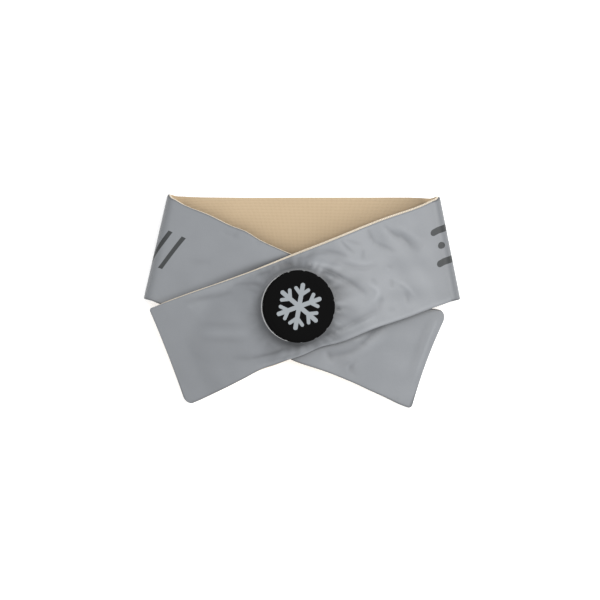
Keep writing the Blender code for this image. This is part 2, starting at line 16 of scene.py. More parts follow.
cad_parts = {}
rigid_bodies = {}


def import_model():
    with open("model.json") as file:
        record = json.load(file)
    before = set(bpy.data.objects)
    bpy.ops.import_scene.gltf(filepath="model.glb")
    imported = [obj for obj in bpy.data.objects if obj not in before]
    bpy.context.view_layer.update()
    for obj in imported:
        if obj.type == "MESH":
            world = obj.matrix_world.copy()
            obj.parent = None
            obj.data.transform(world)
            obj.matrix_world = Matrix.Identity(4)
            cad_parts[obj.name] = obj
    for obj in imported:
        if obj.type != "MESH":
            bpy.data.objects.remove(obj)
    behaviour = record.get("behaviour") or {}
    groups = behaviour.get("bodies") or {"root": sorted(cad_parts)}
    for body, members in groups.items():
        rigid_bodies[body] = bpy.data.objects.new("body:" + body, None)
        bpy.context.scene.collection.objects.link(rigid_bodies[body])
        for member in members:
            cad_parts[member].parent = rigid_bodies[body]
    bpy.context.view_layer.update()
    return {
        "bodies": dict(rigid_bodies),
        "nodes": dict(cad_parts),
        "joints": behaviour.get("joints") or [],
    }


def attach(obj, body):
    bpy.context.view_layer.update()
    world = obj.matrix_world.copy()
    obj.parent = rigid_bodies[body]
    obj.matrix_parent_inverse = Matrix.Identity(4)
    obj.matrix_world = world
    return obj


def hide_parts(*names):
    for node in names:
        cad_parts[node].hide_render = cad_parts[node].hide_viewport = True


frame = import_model()
for body, joint in zip(frame["bodies"], frame["joints"]):
    print("body", body, "and joint", joint["name"])

# %% [markdown]
# ## The camera and the stage
# A flat thing like this is usually photographed from straight above, with a long lens, so that it keeps its
# outline. A 100 mm lens at 1.2 m does that. The floor lies just under the cloth. Two large soft lamps look
# at the ring, the stronger one from the upper right, where the cloth is brightest, under a white sky.

# %% Camera
LENS = 100.0
SENSOR = 36.0
CAMERA_PLACE = (-0.00118, -0.0001, 1.212)

bpy.ops.object.camera_add(location=CAMERA_PLACE, rotation=(0.0, 0.0, 0.0))
camera = bpy.context.object
camera.data.lens = LENS
camera.data.sensor_width = SENSOR
camera.data.clip_start = 0.01
bpy.context.scene.camera = camera
print("the frame is", round(CAMERA_PLACE[2] * SENSOR / LENS, 4), "m wide at the floor")

# %% Helpers that pick and settle a piece


def deselect_all():
    for thing in list(bpy.context.selected_objects):
        thing.select_set(False)


def make_active(piece):
    """Select this piece and no other."""
    deselect_all()
    piece.select_set(True)
    bpy.context.view_layer.objects.active = piece


def settle():
    """Carry the picked piece's place, turn and size over to its mesh."""
    bpy.ops.object.transform_apply(location=True, rotation=True, scale=True)


# %% Floor and lamps
FLOOR_DROP = 0.0002

deselect_all()
bpy.ops.mesh.primitive_plane_add(size=6.0, location=(0.0, 0.0, -FLOOR_DROP))
floor = bpy.context.object
floor.name = "floor"
settle()


def soft_lamp(name, place, size, power):
    """A square lamp that looks at the middle of the ring."""
    bpy.ops.object.light_add(type="AREA", location=place)
    lamp = bpy.context.object
    lamp.name = name
    lamp.data.size = size
    lamp.data.energy = power
    lamp.rotation_euler = (-Vector(place)).to_track_quat("-Z", "Y").to_euler()


soft_lamp("key", (0.42, 0.22, 0.84), 0.45, 6.5)
soft_lamp("fill", (-0.50, -0.50, 1.00), 0.9, 1.6)

world = bpy.data.worlds.new("studio")
bpy.context.scene.world = world
world.use_nodes = True
sky = world.node_tree.nodes["Background"]
sky.inputs["Color"].default_value = (1.0, 1.0, 1.0, 1.0)
sky.inputs["Strength"].default_value = 0.63
bpy.context.scene.view_settings.view_transform = "Standard"

# %% [markdown]
# ## The strip's sizes
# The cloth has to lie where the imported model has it, because the cap, its mouth and the closure are fitted
# to it. So the strip is described by the same sizes: its width, the line of each side fold, the slope of
# each front band, and the height of the crossing. All of them are in metres.

# %% Sizes of the strip
BAND_WIDTH = 0.073
HALF_WIDTH = BAND_WIDTH / 2
LEFT_EDGE = -0.1052
FOLD_SPAN = 0.2115
OVER_LENGTH = 0.2177
UNDER_LENGTH = 0.2144
OVER_SLOPE = math.radians(20.95)
UNDER_SLOPE = math.radians(22.6)
FOLD_RADIUS = 0.0055
FOLD_BLEND = 0.045
END_ZONE = 0.030
# walls of the layers, the gap between them, and the gap between bands that lie on each other
SHELL_WALL = 0.0010
LINING_WALL = 0.0012
CLOTH_GAP = 0.0003
BAND_GAP = 0.0003
OUTER_STEP = CLOTH_GAP / 2 + SHELL_WALL
INNER_STEP = CLOTH_GAP / 2 + LINING_WALL
BACK_HEIGHT = OUTER_STEP
FOLD_TOP = BACK_HEIGHT + 2 * FOLD_RADIUS
CROSSING_HEIGHT = 0.015
OVER_HEIGHT = 0.0196
POUCH_HEIGHT = 0.0064
POUCH_LENGTH = 0.085
MOUTH_FROM_FOLD = 0.1180
CLAMP_RADIUS = 0.0271
HOLE_RADIUS = 0.0213
UNDER_BOW_UPPER = 0.0040
UNDER_BOW_LOWER = -0.0002

# share of the band's length, height at its upper edge, height at its lower edge
UNDER_HEIGHTS = (
    (0.00, FOLD_TOP, FOLD_TOP),
    (0.16, 0.94 * CROSSING_HEIGHT, 0.93 * CROSSING_HEIGHT),
    (0.30, CROSSING_HEIGHT, CROSSING_HEIGHT),
    (0.64, CROSSING_HEIGHT, CROSSING_HEIGHT),
    (0.75, 0.80 * CROSSING_HEIGHT, 0.70 * CROSSING_HEIGHT),
    (0.88, 0.42 * CROSSING_HEIGHT, 0.24 * CROSSING_HEIGHT),
    (1.00, INNER_STEP, INNER_STEP),
)
OVER_HEIGHTS = (
    (0.00, FOLD_TOP, FOLD_TOP),
    (0.18, 0.75 * OVER_HEIGHT, 0.74 * OVER_HEIGHT),
    (0.35, OVER_HEIGHT, OVER_HEIGHT),
    (0.72, OVER_HEIGHT, OVER_HEIGHT),
    (0.84, OVER_HEIGHT, 0.74 * OVER_HEIGHT),
    (0.93, 0.94 * OVER_HEIGHT, 0.30 * OVER_HEIGHT),
    (1.00, FOLD_TOP + 1.25 * (OUTER_STEP + INNER_STEP + BAND_GAP), INNER_STEP),
)
# place along the band from its fold, how far the edge is pulled in there, and over what length
OVER_UPPER_PULLS = ((0.0080, 0.0034, 0.0200), (0.0700, 0.0013, 0.0350), (0.1300, 0.0018, 0.0450))
OVER_LOWER_PULLS = (
    (0.1556, 0.0022, 0.0204),
    (0.1304, 0.0024, 0.0146),
    (0.2104, -0.0020, 0.0240),
    (0.1500, 0.0012, 0.0095),
    (0.0230, 0.0006, 0.0160),
    (0.0670, 0.0018, 0.0240),
    (0.1060, 0.0029, 0.0130),
)
UNDER_UPPER_PULLS = ((0.0070, 0.0041, 0.0160), (0.0480, -0.0017, 0.0095), (0.2060, -0.0022, 0.0090))
UNDER_LOWER_PULLS = (
    (0.1170, -0.0009, 0.0120),
    (0.1480, 0.0009, 0.0160),
    (0.1650, 0.0005, 0.0100),
    (0.2000, -0.0009, 0.0100),
)
# share of the back panel's length from the left fold, how far the panel hangs down there
BACK_DROPS = (
    (0.0, 0.0),
    (0.12, 0.0006),
    (0.25, 0.0006),
    (0.47, 0.0002),
    (0.75, -0.0003),
    (0.92, -0.0006),
    (1.0, 0.0),
)

# %% Curves that the sizes are read with


def ease(value):
    """Smooth step from 0 to 1."""
    value = np.clip(value, 0.0, 1.0)
    return value * value * (3 - 2 * value)


def read_curve(rows, share, column):
    """One column of a table as a smooth curve that never overshoots."""
    table = np.array(rows, dtype=float)
    places, values = table[:, 0], table[:, column]
    steps = np.diff(values) / np.diff(places)
    slopes = np.zeros(len(places))
    for k in range(1, len(places) - 1):
        before, after = steps[k - 1], steps[k]
        if before * after > 0:
            slopes[k] = 2 * before * after / (before + after)
    slopes[0], slopes[-1] = steps[0], steps[-1]
    k = np.clip(np.searchsorted(places, share) - 1, 0, len(steps) - 1)
    width = places[k + 1] - places[k]
    part = np.clip((share - places[k]) / width, 0.0, 1.0)
    rest = 1 - part
    return (
        values[k] * rest * rest * (1 + 2 * part)
        + values[k + 1] * part * part * (3 - 2 * part)
        + width * slopes[k] * part * rest * rest
        - width * slopes[k + 1] * part * part * rest
    )


def heading(angle):
    return np.array((math.cos(angle), math.sin(angle)))


print("crossing, as a check:", float(read_curve(OVER_HEIGHTS, np.array([0.5]), 1)[0]))

# %% Side folds and front bands in plan
# share of a fold's half turn where its roll begins to follow the band's pulls
PULL_START = 0.40


class SideFold:
    """One side fold: the line of its edge in plan, and the axis of the roll inside it."""

    def __init__(self, middle, lean, side, upper_tip, lower_tip, outset):
        self.middle = np.array(middle)
        self.outset = outset
        self.upper_tip = upper_tip
        self.lower_tip = lower_tip
        self.up = np.array((-side * math.sin(lean), math.cos(lean)))
        self.outward = np.array((side * math.cos(lean), math.sin(lean)))
        self.stretch = 1 / math.cos(lean)
        self.inset = FOLD_RADIUS + OUTER_STEP

    def axis(self, across):
        share = across / HALF_WIDTH
        tips = self.upper_tip * np.maximum(share, 0.0) ** 3 + self.lower_tip * np.minimum(share, 0.0) ** 3
        reach = across * self.stretch + tips
        return self.middle - self.outward * (self.inset - self.outset) + self.up * reach[:, None]

    def roll(self, across, angle):
        plan = self.axis(across) + self.outward * (FOLD_RADIUS * np.sin(angle))[:, None]
        return np.column_stack([plan, BACK_HEIGHT + FOLD_RADIUS * (1 - np.cos(angle))])


class FrontBand:
    """One front band in plan, along its slope from its fold and across to its upper edge."""

    def __init__(self, fold, direction, across, length, end_skew, end_hollow, corners, pulls, heights):
        self.fold = fold
        self.pulls = pulls
        self.direction = direction
        self.across = across
        self.inset = fold.inset * -float(fold.outward @ direction)
        self.run = length - self.inset
        self.rise = (heights[1][1] - heights[0][1]) / (heights[1][0] * self.run)
        self.end_skew = end_skew
        self.end_hollow = end_hollow
        self.corners = corners

    def end_run(self, across):
        """Length of the band at this distance across, with its skewed end and round corners."""
        radius = np.where(across > 0, self.corners[0], self.corners[1])
        depth = np.clip(np.abs(across) - (HALF_WIDTH - radius), 0.0, radius)
        cut = radius - np.sqrt(np.maximum(radius * radius - depth * depth, 0.0))
        hollow = self.end_hollow * (1 - (across / HALF_WIDTH) ** 2)
        return self.run + self.end_skew * across / BAND_WIDTH - hollow - cut

    def plan(self, along, across, bow):
        from_fold = self.fold.axis(across) + self.direction * along[:, None]
        start = self.fold.middle + self.direction * self.inset
        straight = start + self.direction * along[:, None] + self.across * (across + bow)[:, None]
        share = ease(along / FOLD_BLEND)[:, None]
        return from_fold + (straight - from_fold) * share + self.pull(along, across)

    def pull(self, along, across):
        """How far the edges' pulls move the cloth across the band."""
        moved = np.zeros(len(along))
        for side, rows in zip((1, -1), self.pulls):
            near_edge = np.maximum(side * across / HALF_WIDTH, 0.0) ** 3
            for place, depth, reach in rows:
                moved -= side * depth * near_edge * np.exp(-(((along - place) / reach) ** 2))
        return moved[:, None] * self.across

    def roll(self, across, angle):
        """The roll of the band's own fold, whose upper half follows the edges' pulls."""
        spots = self.fold.roll(across, angle)
        share = ease((angle / math.pi - PULL_START) / (1 - PULL_START))
        spots[:, :2] += self.pull(np.zeros(len(across)), across) * share[:, None]
        spots[:, 2] -= self.rise * FOLD_RADIUS * np.sin(angle) * share
        return spots


LEFT_FOLD = SideFold(
    (LEFT_EDGE, 0.0379), math.radians(13.0), -1, upper_tip=0.0024, lower_tip=0.0007, outset=0.0005
)
RIGHT_FOLD = SideFold(
    (LEFT_EDGE + FOLD_SPAN, 0.0373), math.radians(11.3), 1, upper_tip=0.0010, lower_tip=0.0008, outset=0.0011
)
OVER = FrontBand(
    RIGHT_FOLD,
    heading(math.pi + OVER_SLOPE),
    heading(math.pi / 2 + OVER_SLOPE),
    OVER_LENGTH,
    end_skew=-0.0010,
    end_hollow=0.0008,
    corners=(0.0018, 0.0060),
    pulls=(OVER_UPPER_PULLS, OVER_LOWER_PULLS),
    heights=OVER_HEIGHTS,
)
UNDER = FrontBand(
    LEFT_FOLD,
    heading(-UNDER_SLOPE),
    heading(math.pi / 2 - UNDER_SLOPE),
    UNDER_LENGTH,
    end_skew=-0.0026,
    end_hollow=0.0018,
    corners=(0.0075, 0.0028),
    pulls=(UNDER_UPPER_PULLS, UNDER_LOWER_PULLS),
    heights=UNDER_HEIGHTS,
)
MOUTH_ALONG = MOUTH_FROM_FOLD - OVER.inset
ZERO = np.zeros(1)
MOUTH_PLAN = OVER.plan(np.array([MOUTH_ALONG]), ZERO, ZERO)[0]
MOUTH_LEAN = math.radians(7.5)
MOUTH_HEADING = math.radians(7.0)
MOUTH_AXIS = Vector(
    (
        math.sin(MOUTH_LEAN) * math.cos(MOUTH_HEADING),
        math.sin(MOUTH_LEAN) * math.sin(MOUTH_HEADING),
        math.cos(MOUTH_LEAN),
    )
)
MOUTH_HEIGHT = OVER_HEIGHT + POUCH_HEIGHT
print("middle of the mouth in plan:", MOUTH_PLAN.round(5))

# %% Places along the flat strip
ROLL_LENGTH = math.pi * FOLD_RADIUS
BACK_RUN = float(np.linalg.norm(RIGHT_FOLD.axis(ZERO)[0] - LEFT_FOLD.axis(ZERO)[0]))
UNDER_FOLD_AT = UNDER.run
BACK_START_AT = UNDER_FOLD_AT + ROLL_LENGTH
BACK_END_AT = BACK_START_AT + BACK_RUN
OVER_FOLD_AT = BACK_END_AT + ROLL_LENGTH
STRIP_LENGTH = OVER_FOLD_AT + OVER.run
MOUTH_AT = OVER_FOLD_AT + MOUTH_ALONG
CROSSING_END_AT = MOUTH_AT + 0.020
print("the flat strip is", round(STRIP_LENGTH, 4), "m long; the mouth is at", round(MOUTH_AT, 4))

# %% [markdown]
# ## Creases
# Thin coated cloth over a pouch doesn't lie smooth: it breaks into soft folds that run away from the
# clamped mouth, and into short creases along the edges. Each crease is a row of a table: three points of a
# curve in plan, in millimetres, then its width and its height, below zero for a valley. Broad low waves are
# added, because no cloth is quite flat between its creases.

# %% Tables of creases
OVER_CREASES = (
    (-3.2, 27.5, 14, 34.2, 33, 30.3, 1.8, -0.6),
    (2.4, 28, 13, 25.6, 29, 21.9, 2.2, 0.7),
    (12.6, 21.8, 30.4, 14.3, 46.5, 2.5, 2.3, -0.55),
    (14, 21.2, 22, 18.8, 31, 13.9, 1.3, -0.4),
    (15.5, 18.5, 19.5, 16.5, 23.5, 12.5, 1.6, 0.4),
    (46.3, 53.5, 48.4, 46.5, 52, 40, 1.6, -0.55),
    (50, 41.5, 58, 38, 67.5, 34, 1.9, -0.38),
    (56.5, 56, 63.5, 48.5, 70.5, 44, 1.7, -0.4),
    (62, 49.5, 72, 43.5, 84, 35, 2.8, -0.42),
    (70, 47.5, 75, 42.5, 79, 35.5, 1.4, -0.2),
    (66, 54, 76, 48, 86, 41, 2.2, 0.22),
    (25.8, 45.5, 30.5, 38.8, 38.6, 32.5, 1.2, -0.48),
    (28.6, 44.4, 36, 41.2, 43, 39.6, 1.2, -0.34),
    (44, 36, 43.4, 32.3, 43.1, 28.5, 1.1, -0.42),
    (27, 26.8, 40.5, 22.6, 54.6, 24.9, 1.9, -0.35),
    (30, 30, 41, 26.6, 52, 27.5, 1.8, 0.2),
    (49.4, 15, 51.8, 13, 54, 10.4, 1.6, -0.3),
    (46.2, 11, 54.8, 4.6, 44.6, -6.3, 2, 0.45),
    (57.2, 2, 57, -1.5, 54.4, -6.9, 1.6, -0.4),
    (58, -5.4, 38.5, -16, 16.5, -26.2, 2.2, -0.58),
    (52, -12, 38, -19.5, 24, -25, 1.6, 0.3),
    (63.4, 15, 64, 11.5, 64.4, 8, 1.5, -0.34),
    (74.2, 6, 75.4, 1, 75.6, -3.5, 1.8, -0.34),
    (64.5, 15, 74.3, 9.6, 81.8, 0.9, 1.4, 0.25),
    (62, -6.6, 64.6, -7.2, 67.4, -6.9, 1.8, -0.25),
    (60.6, 24.5, 62.8, 23.2, 65, 21.7, 1.2, -0.2),
    (24.2, -6.4, 25.8, -7, 27.6, -6.4, 1.5, -0.6),
    (4, 24.6, 6, 23.8, 8.4, 22.9, 1.2, -0.4),
    (-22, 21.5, -19.5, 23, -17, 24.5, 1.4, -0.5),
    (-13.5, 26.6, -9.5, 25.2, -5, 24.4, 1.8, -0.6),
    (-17.6, 26.4, -9.5, 30, -1.6, 33.4, 1.6, 0.35),
    (14.5, -26.5, 17.5, -25, 20.5, -23.6, 1.2, -0.45),
    (19, -27.9, 20.4, -28.3, 21.8, -28.3, 1.2, 0.4),
    (21.5, -30.2, 22.8, -29.4, 24.2, -29, 1, -0.3),
    (-7, -31.8, -2, -32.8, 4, -32.4, 1.5, -0.5),
    (-6.4, -31.4, -20.6, -37.6, -36, -41.2, 1.7, -0.9),
    (-30, -40.5, -40, -41.5, -51, -40.7, 2.4, -0.4),
    (-16, -39.8, -9, -37.5, -2, -36.4, 1.6, 0.45),
    (-24, -27, -19.5, -31, -14.5, -34, 1.8, 0.4),
    (-73, -28, -55, -28.8, -36, -28.9, 2.6, -0.28),
    (-73, -23.6, -55, -23.8, -36, -24, 2.4, 0.22),
    (-76, -17.2, -57, -17.6, -37, -18.2, 2.4, -0.28),
    (-86, -2, -67, 2, -48.5, 6, 2.3, -0.75),
    (-80, 4.2, -65, 8, -48, 13.5, 1.8, 0.3),
    (-51, 11.2, -38, 11.3, -25.8, 9.8, 1.6, -0.6),
    (-34, 17, -27.5, 18.5, -20, 19.6, 1.5, -0.75),
    (-36, 6, -36, 0, -36.5, -10, 3, 0.25),
    (-82, -3.4, -80, -5, -77.5, -6.8, 1.4, 0.2),
)
UNDER_CREASES = (
    (60, -18, 50.5, -25, 41, -33, 2.8, -0.85),
    (46, -30.5, 35, -37.5, 17, -40.5, 3, -0.6),
    (19, -37, 28, -45.5, 38, -57, 6, -0.35),
    (36.5, -30.4, 43.5, -28.4, 48.4, -24.2, 1.4, 0.5),
    (62, -25, 50, -33, 36, -40, 3.2, 0.3),
    (17.6, -36, 19.8, -40.5, 21, -45.5, 1.9, -0.45),
    (32.5, -44.5, 34.3, -49, 33.4, -57, 2.4, -0.38),
    (40, -43.1, 36.4, -49.5, 39.7, -56.3, 1.6, -0.22),
    (37.1, -43.6, 32.7, -49.5, 34.9, -56, 1.3, 0.42),
    (98.6, -14, 91.5, -31, 78.8, -66, 1.1, 0.4),
    (93.5, -14, 86, -31, 76, -60, 2.8, -0.3),
    (64, -73, 67, -72.8, 71, -72, 1.4, -0.4),
    (-57.9, 49.8, -50.6, 46.2, -44, 44.4, 1.6, -0.22),
    (-44.5, 51.5, -46.5, 48.5, -50.5, 44.5, 1.6, -0.3),
    (-34.2, 41.5, -30.8, 40.8, -28.5, 40.4, 1.4, -0.3),
    (-37.4, 44.4, -33, 42.5, -28.7, 41.8, 1.5, 0.2),
    (-82, 26.5, -74, 27.2, -64, 27, 2.6, -0.2),
    (-66, 59, -60, 57.4, -54, 55.6, 1, -0.22),
)

# %% Height of the creases and waves
WAVES = 9
# height, length and seed of each band's waves, and how far from its fold they and the creases are full
OVER_WAVES = (0.00024, 0.021, 3)
UNDER_WAVES = (0.00010, 0.024, 8)
RELIEF_START = 0.020


def nearest(plan, line):
    """Distance in plan to a line of points, and the share of the line that lies before its nearest place."""
    near, where = np.full(len(plan), np.inf), np.zeros(len(plan))
    steps = np.diff(line, axis=0)
    for k, (start, step) in enumerate(zip(line, steps)):
        offset = plan - start
        part = np.clip(offset @ step / (step @ step), 0.0, 1.0)
        away = np.linalg.norm(offset - part[:, None] * step, axis=1)
        closer = away < near
        near = np.where(closer, away, near)
        where = np.where(closer, (k + part) / len(steps), where)
    return near, where


def crease_height(plan, rows):
    """Height in metres that a table of creases adds at each place in plan."""
    total = np.zeros(len(plan))
    share = np.linspace(0.0, 1.0, 15)[:, None]
    for row in rows:
        first, middle, last = (np.array(row[k : k + 2]) / 1000 for k in (0, 2, 4))
        width, height = row[6] / 1000, row[7] / 1000
        bend = 2 * middle - (first + last) / 2
        line = first * (1 - share) ** 2 + bend * 2 * share * (1 - share) + last * share**2
        near, where = nearest(plan, line)
        total += height * np.sin(np.pi * where) ** 0.7 * np.exp(-((near / width) ** 2))
    return total


def waves(plan, height, length, seed):
    """Broad low waves that run in no one direction."""
    chance = np.random.default_rng(seed)
    total = np.zeros(len(plan))
    for turn, shift in chance.uniform(0.0, 2 * math.pi, (WAVES, 2)):
        stretch = chance.uniform(0.75, 1.4)
        total += np.sin(plan @ heading(turn) * 2 * math.pi / (length * stretch) + shift)
    return height * (total / math.sqrt(WAVES))


print("creases on the over band:", len(OVER_CREASES), "and on the under band:", len(UNDER_CREASES))

# %% [markdown]
# ## Wrapping the flat strip
# A tailor's way is the easiest here too: cut the cloth flat, then fold it. Every point of the flat strip
# has a place along it and a distance across it, and one function carries that to its place on the folded
# ring. Each fold is a half turn round a roll. Round the mouth the shell is lifted off the lining, which
# makes the pouch, and gathered into small pleats.

# %% From the flat strip to the ring
PLEATS = 40
PLEAT_DEPTH = 0.00028
PLEAT_REACH = 0.012
CLAMP_BLEND = 0.003


def pouch_share(along, across):
    """How far the shell is lifted off the lining: 1 inside the clamped ring, 0 at the pouch's edge."""
    radius = np.maximum(np.hypot(along, across), 1e-6)
    limit = 1 / np.hypot(along / radius / POUCH_LENGTH, across / radius / HALF_WIDTH)
    outside = np.clip((radius - CLAMP_RADIUS) / (limit - CLAMP_RADIUS), 0.0, 1.0)
    return (1 - outside) ** 2 * (1 + 0.7 * outside)


def pleats(along, across):
    """Small gathers outside the clamped ring, deepest on the side of the free end."""
    radius, angle = np.hypot(along, across), np.arctan2(across, along)
    outside = np.clip((radius - CLAMP_RADIUS) / PLEAT_REACH, 0.0, 1.0)
    swing = 1.3 * np.sin(3 * angle + 0.6) + 0.9 * np.sin(7 * angle + 2.0)
    depth = PLEAT_DEPTH * (1 + 0.45 * np.cos(angle - 0.3))
    return depth * np.cos(PLEATS * angle + swing) * np.sin(np.pi * outside) * (1 - outside)


def edge_fade(across):
    return 1 - np.minimum(np.abs(across) / HALF_WIDTH, 1.0) ** 8


def relief(plan, along, across, creases, wave):
    """Height of a front band's creases and waves, which fade at its edges and towards its fold."""
    height = crease_height(plan, creases) + waves(plan, *wave)
    return height * edge_fade(across) * ease(along / RELIEF_START)


def band_height(rows, share, across):
    """Height of a front band between its upper and its lower edge."""
    upper, lower = (read_curve(rows, share, column) for column in (1, 2))
    return lower + (upper - lower) * (0.5 + across / BAND_WIDTH)


def over_surface(along, across, layer):
    step = along - MOUTH_ALONG
    lifted = pouch_share(step, across)
    pull = OVER.pull(along, across) * lifted[:, None]
    plan = OVER.plan(along, across, np.zeros(len(along))) - pull
    height = band_height(OVER_HEIGHTS, along / OVER.run, across)
    creased = relief(plan, along, across, OVER_CREASES, OVER_WAVES)
    if layer == "lining":
        return np.column_stack([plan, height + creased * (1 - lifted)])
    from_mouth = (plan - MOUTH_PLAN) @ np.array(MOUTH_AXIS.xy) / MOUTH_AXIS.z
    height = height + lifted * (MOUTH_HEIGHT - from_mouth - height)
    radius = np.hypot(step, across)
    free = ease((radius - CLAMP_RADIUS) / CLAMP_BLEND)
    return np.column_stack([plan, height + creased * free + pleats(step, across)])


def under_surface(along, across):
    share = along / UNDER.run
    side = 0.5 + across / BAND_WIDTH
    bow = (UNDER_BOW_LOWER + (UNDER_BOW_UPPER - UNDER_BOW_LOWER) * side) * 4 * share * (1 - share)
    plan = UNDER.plan(along, across, -bow)
    height = band_height(UNDER_HEIGHTS, share, across)
    return np.column_stack([plan, height + relief(plan, along, across, UNDER_CREASES, UNDER_WAVES)])


def back_surface(share, across):
    start, end = LEFT_FOLD.axis(across), RIGHT_FOLD.axis(across)
    plan = start + (end - start) * share[:, None]
    plan[:, 1] -= read_curve(BACK_DROPS, share, 1)
    return np.column_stack([plan, np.full(len(plan), BACK_HEIGHT)])


def wrap(place, across, layer):
    """Carry places of the flat strip to the ring."""
    surfaces = (
        lambda p, a: under_surface(UNDER_FOLD_AT - p, a),
        lambda p, a: UNDER.roll(a, math.pi - (p - UNDER_FOLD_AT) / FOLD_RADIUS),
        lambda p, a: back_surface((p - BACK_START_AT) / BACK_RUN, a),
        lambda p, a: OVER.roll(a, (p - BACK_END_AT) / FOLD_RADIUS),
        lambda p, a: over_surface(p - OVER_FOLD_AT, a, layer),
    )
    zones = np.digitize(place, (UNDER_FOLD_AT, BACK_START_AT, BACK_END_AT, OVER_FOLD_AT))
    spots = np.zeros((len(place), 3))
    for zone, surface in enumerate(surfaces):
        inside = zones == zone
        spots[inside] = surface(place[inside], across[inside])
    return spots


def trim_ends(place, across):
    """Give both free ends their skew and round corners."""
    under = UNDER.end_run(across) - (UNDER.run - END_ZONE)
    over = OVER.end_run(across) - (OVER.run - END_ZONE)
    start = STRIP_LENGTH - END_ZONE
    place = np.where(place < END_ZONE, END_ZONE - (END_ZONE - place) * under / END_ZONE, place)
    return np.where(place > start, start + (place - start) * over / END_ZONE, place)


# %% Cross lines and rows of the cutting pattern
END_LINES = (0.0, 0.0003, 0.0008, 0.0015)
RIM_ROWS = (0.0, 0.0001, 0.0003, 0.0006, 0.0010)
RIM = 0.0016
ROLL_STEP = 0.0010


def spaced(start, end, step):
    """Evenly spaced places from start up to, but without, end."""
    count = max(1, round((end - start) / step))
    return [start + (end - start) * k / count for k in range(count)]


def cross_lines(coarse, fine):
    """Places of the pattern's cross lines, closest round the folds and the mouth."""
    zones = (
        (END_LINES[-1], coarse),
        (UNDER_FOLD_AT, ROLL_STEP),
        (BACK_START_AT, 3 * coarse),
        (BACK_END_AT, ROLL_STEP),
        (OVER_FOLD_AT, coarse),
        (MOUTH_AT - 0.055, fine),
        (MOUTH_AT + 0.045, coarse),
        (STRIP_LENGTH - END_LINES[-1], None),
    )
    lines = list(END_LINES[:-1])
    for (start, step), (end, _) in zip(zones, zones[1:]):
        lines += spaced(start, end, step)
    return np.array(lines + [STRIP_LENGTH - inset for inset in END_LINES[::-1]])


def edge_rows(step, lower_inset):
    """Distances of the pattern's rows from its middle line, closest along both edges."""
    lowest = -HALF_WIDTH + lower_inset
    inner = spaced(lowest + RIM, HALF_WIDTH - RIM, step)
    upper = [HALF_WIDTH - inset for inset in (RIM, *RIM_ROWS[::-1])]
    return np.array([lowest + inset for inset in RIM_ROWS] + inner + upper)


def cut_pattern(name, places, rows):
    """A flat grid of the cloth, with its flat places kept in its UV map, in metres."""
    deselect_all()
    bpy.ops.mesh.primitive_grid_add(x_subdivisions=len(places) - 1, y_subdivisions=len(rows) - 1)
    cloth = bpy.context.object
    cloth.name = name
    cloth.data.name = name
    flat = np.array([(place, row) for row in rows for place in places])
    corners = np.zeros(len(cloth.data.loops), dtype=int)
    cloth.data.loops.foreach_get("vertex_index", corners)
    cloth.data.uv_layers[0].name = "flat"
    cloth.data.uv_layers[0].uv.foreach_set("vector", flat[corners].ravel())
    print(name, "pattern:", len(places), "cross lines and", len(rows), "rows")
    return cloth


# %% [markdown]
# ## The outer shell
# The shell is cut from a grid, wrapped, and moved out by half of the gap to the lining. The round hole for
# the filler neck is cut, and then a Solidify modifier gives the shell its wall. A vertex group thins the
# wall along the edges, where the real cloth is turned in, so that they come out rounded.

# %% Normals and walls
END_RIM = 0.0013


def sheet_normals(spots):
    """Unit normals of a grid of points with shape (rows, lines, 3), towards the outside of the ring."""
    along = np.gradient(spots, axis=1)
    across = np.gradient(spots, axis=0)
    normals = np.cross(across, along)
    return normals / np.maximum(np.linalg.norm(normals, axis=2, keepdims=True), 1e-12)


def rim_profile(distance, radius):
    """Share of the wall that is left near an edge: a quarter circle."""
    near = np.clip(distance / radius, 0.0, 1.0)
    return 0.12 + 0.88 * np.sqrt(1 - (1 - near) ** 2)


def give_wall(cloth, wall, side, shares):
    """Solidify with a wall that thins where the shares are below 1."""
    group = cloth.vertex_groups.new(name="wall")
    for level in np.unique(shares.round(2)):
        members = np.flatnonzero(shares.round(2) == level).tolist()
        group.add(members, float(level), "REPLACE")
    solid = cloth.modifiers.new("Wall", "SOLIDIFY")
    solid.thickness = wall
    solid.offset = side
    solid.use_even_offset = False
    solid.vertex_group = "wall"
    make_active(cloth)
    bpy.ops.object.mode_set(mode="EDIT")
    bpy.ops.mesh.select_all(action="SELECT")
    bpy.ops.mesh.flip_normals()
    bpy.ops.object.mode_set(mode="OBJECT")
    bpy.ops.object.modifier_apply(modifier="Wall")
    bpy.ops.object.shade_smooth()


# %% Cut and wrap the shell
shell_lines = cross_lines(0.0011, 0.0008)
shell_rows = edge_rows(0.00105, 0.0)
shell = cut_pattern("neck_ring_shell", shell_lines, shell_rows)

shape = (len(shell_rows), len(shell_lines))
flat_across, flat_place = np.meshgrid(shell_rows, shell_lines, indexing="ij")
flat_place = trim_ends(flat_place.ravel(), flat_across.ravel())
spots = wrap(flat_place, flat_across.ravel(), "shell").reshape(*shape, 3)
spots = spots + sheet_normals(spots) * CLOTH_GAP / 2
shell.data.vertices.foreach_set("co", spots.ravel())

to_edge = HALF_WIDTH - np.abs(flat_across.ravel())
flat = flat_place.reshape(shape)
to_end = np.minimum(flat - flat[:, :1], flat[:, -1:] - flat).ravel()
shell_shares = rim_profile(np.minimum(to_edge, to_end), END_RIM)
print("shell pattern wrapped:", shape, "outer height", round(float(spots[..., 2].max()), 4))

# %% [markdown]
# ### Painted light and shade on the coating
# The coating is painted darker where shade falls: in creases, at the folds and edges, round the clamped
# mouth and beside the band that crosses it. It is painted lighter on ridges, as a painted highlight. The
# mesh keeps that painted light and shade as one number for each point, the share of the colour that is left,
# and the material multiplies its colour by it.

# %% Where shade and highlights are painted on the coating
# change of the painted light for each metre of a crease's height: painted shade in valleys, painted
# highlight on ridges
CREASE_PAINTED_LIGHT = 300.0
PAINTED_LIGHT_RANGE = (0.12, 1.35)
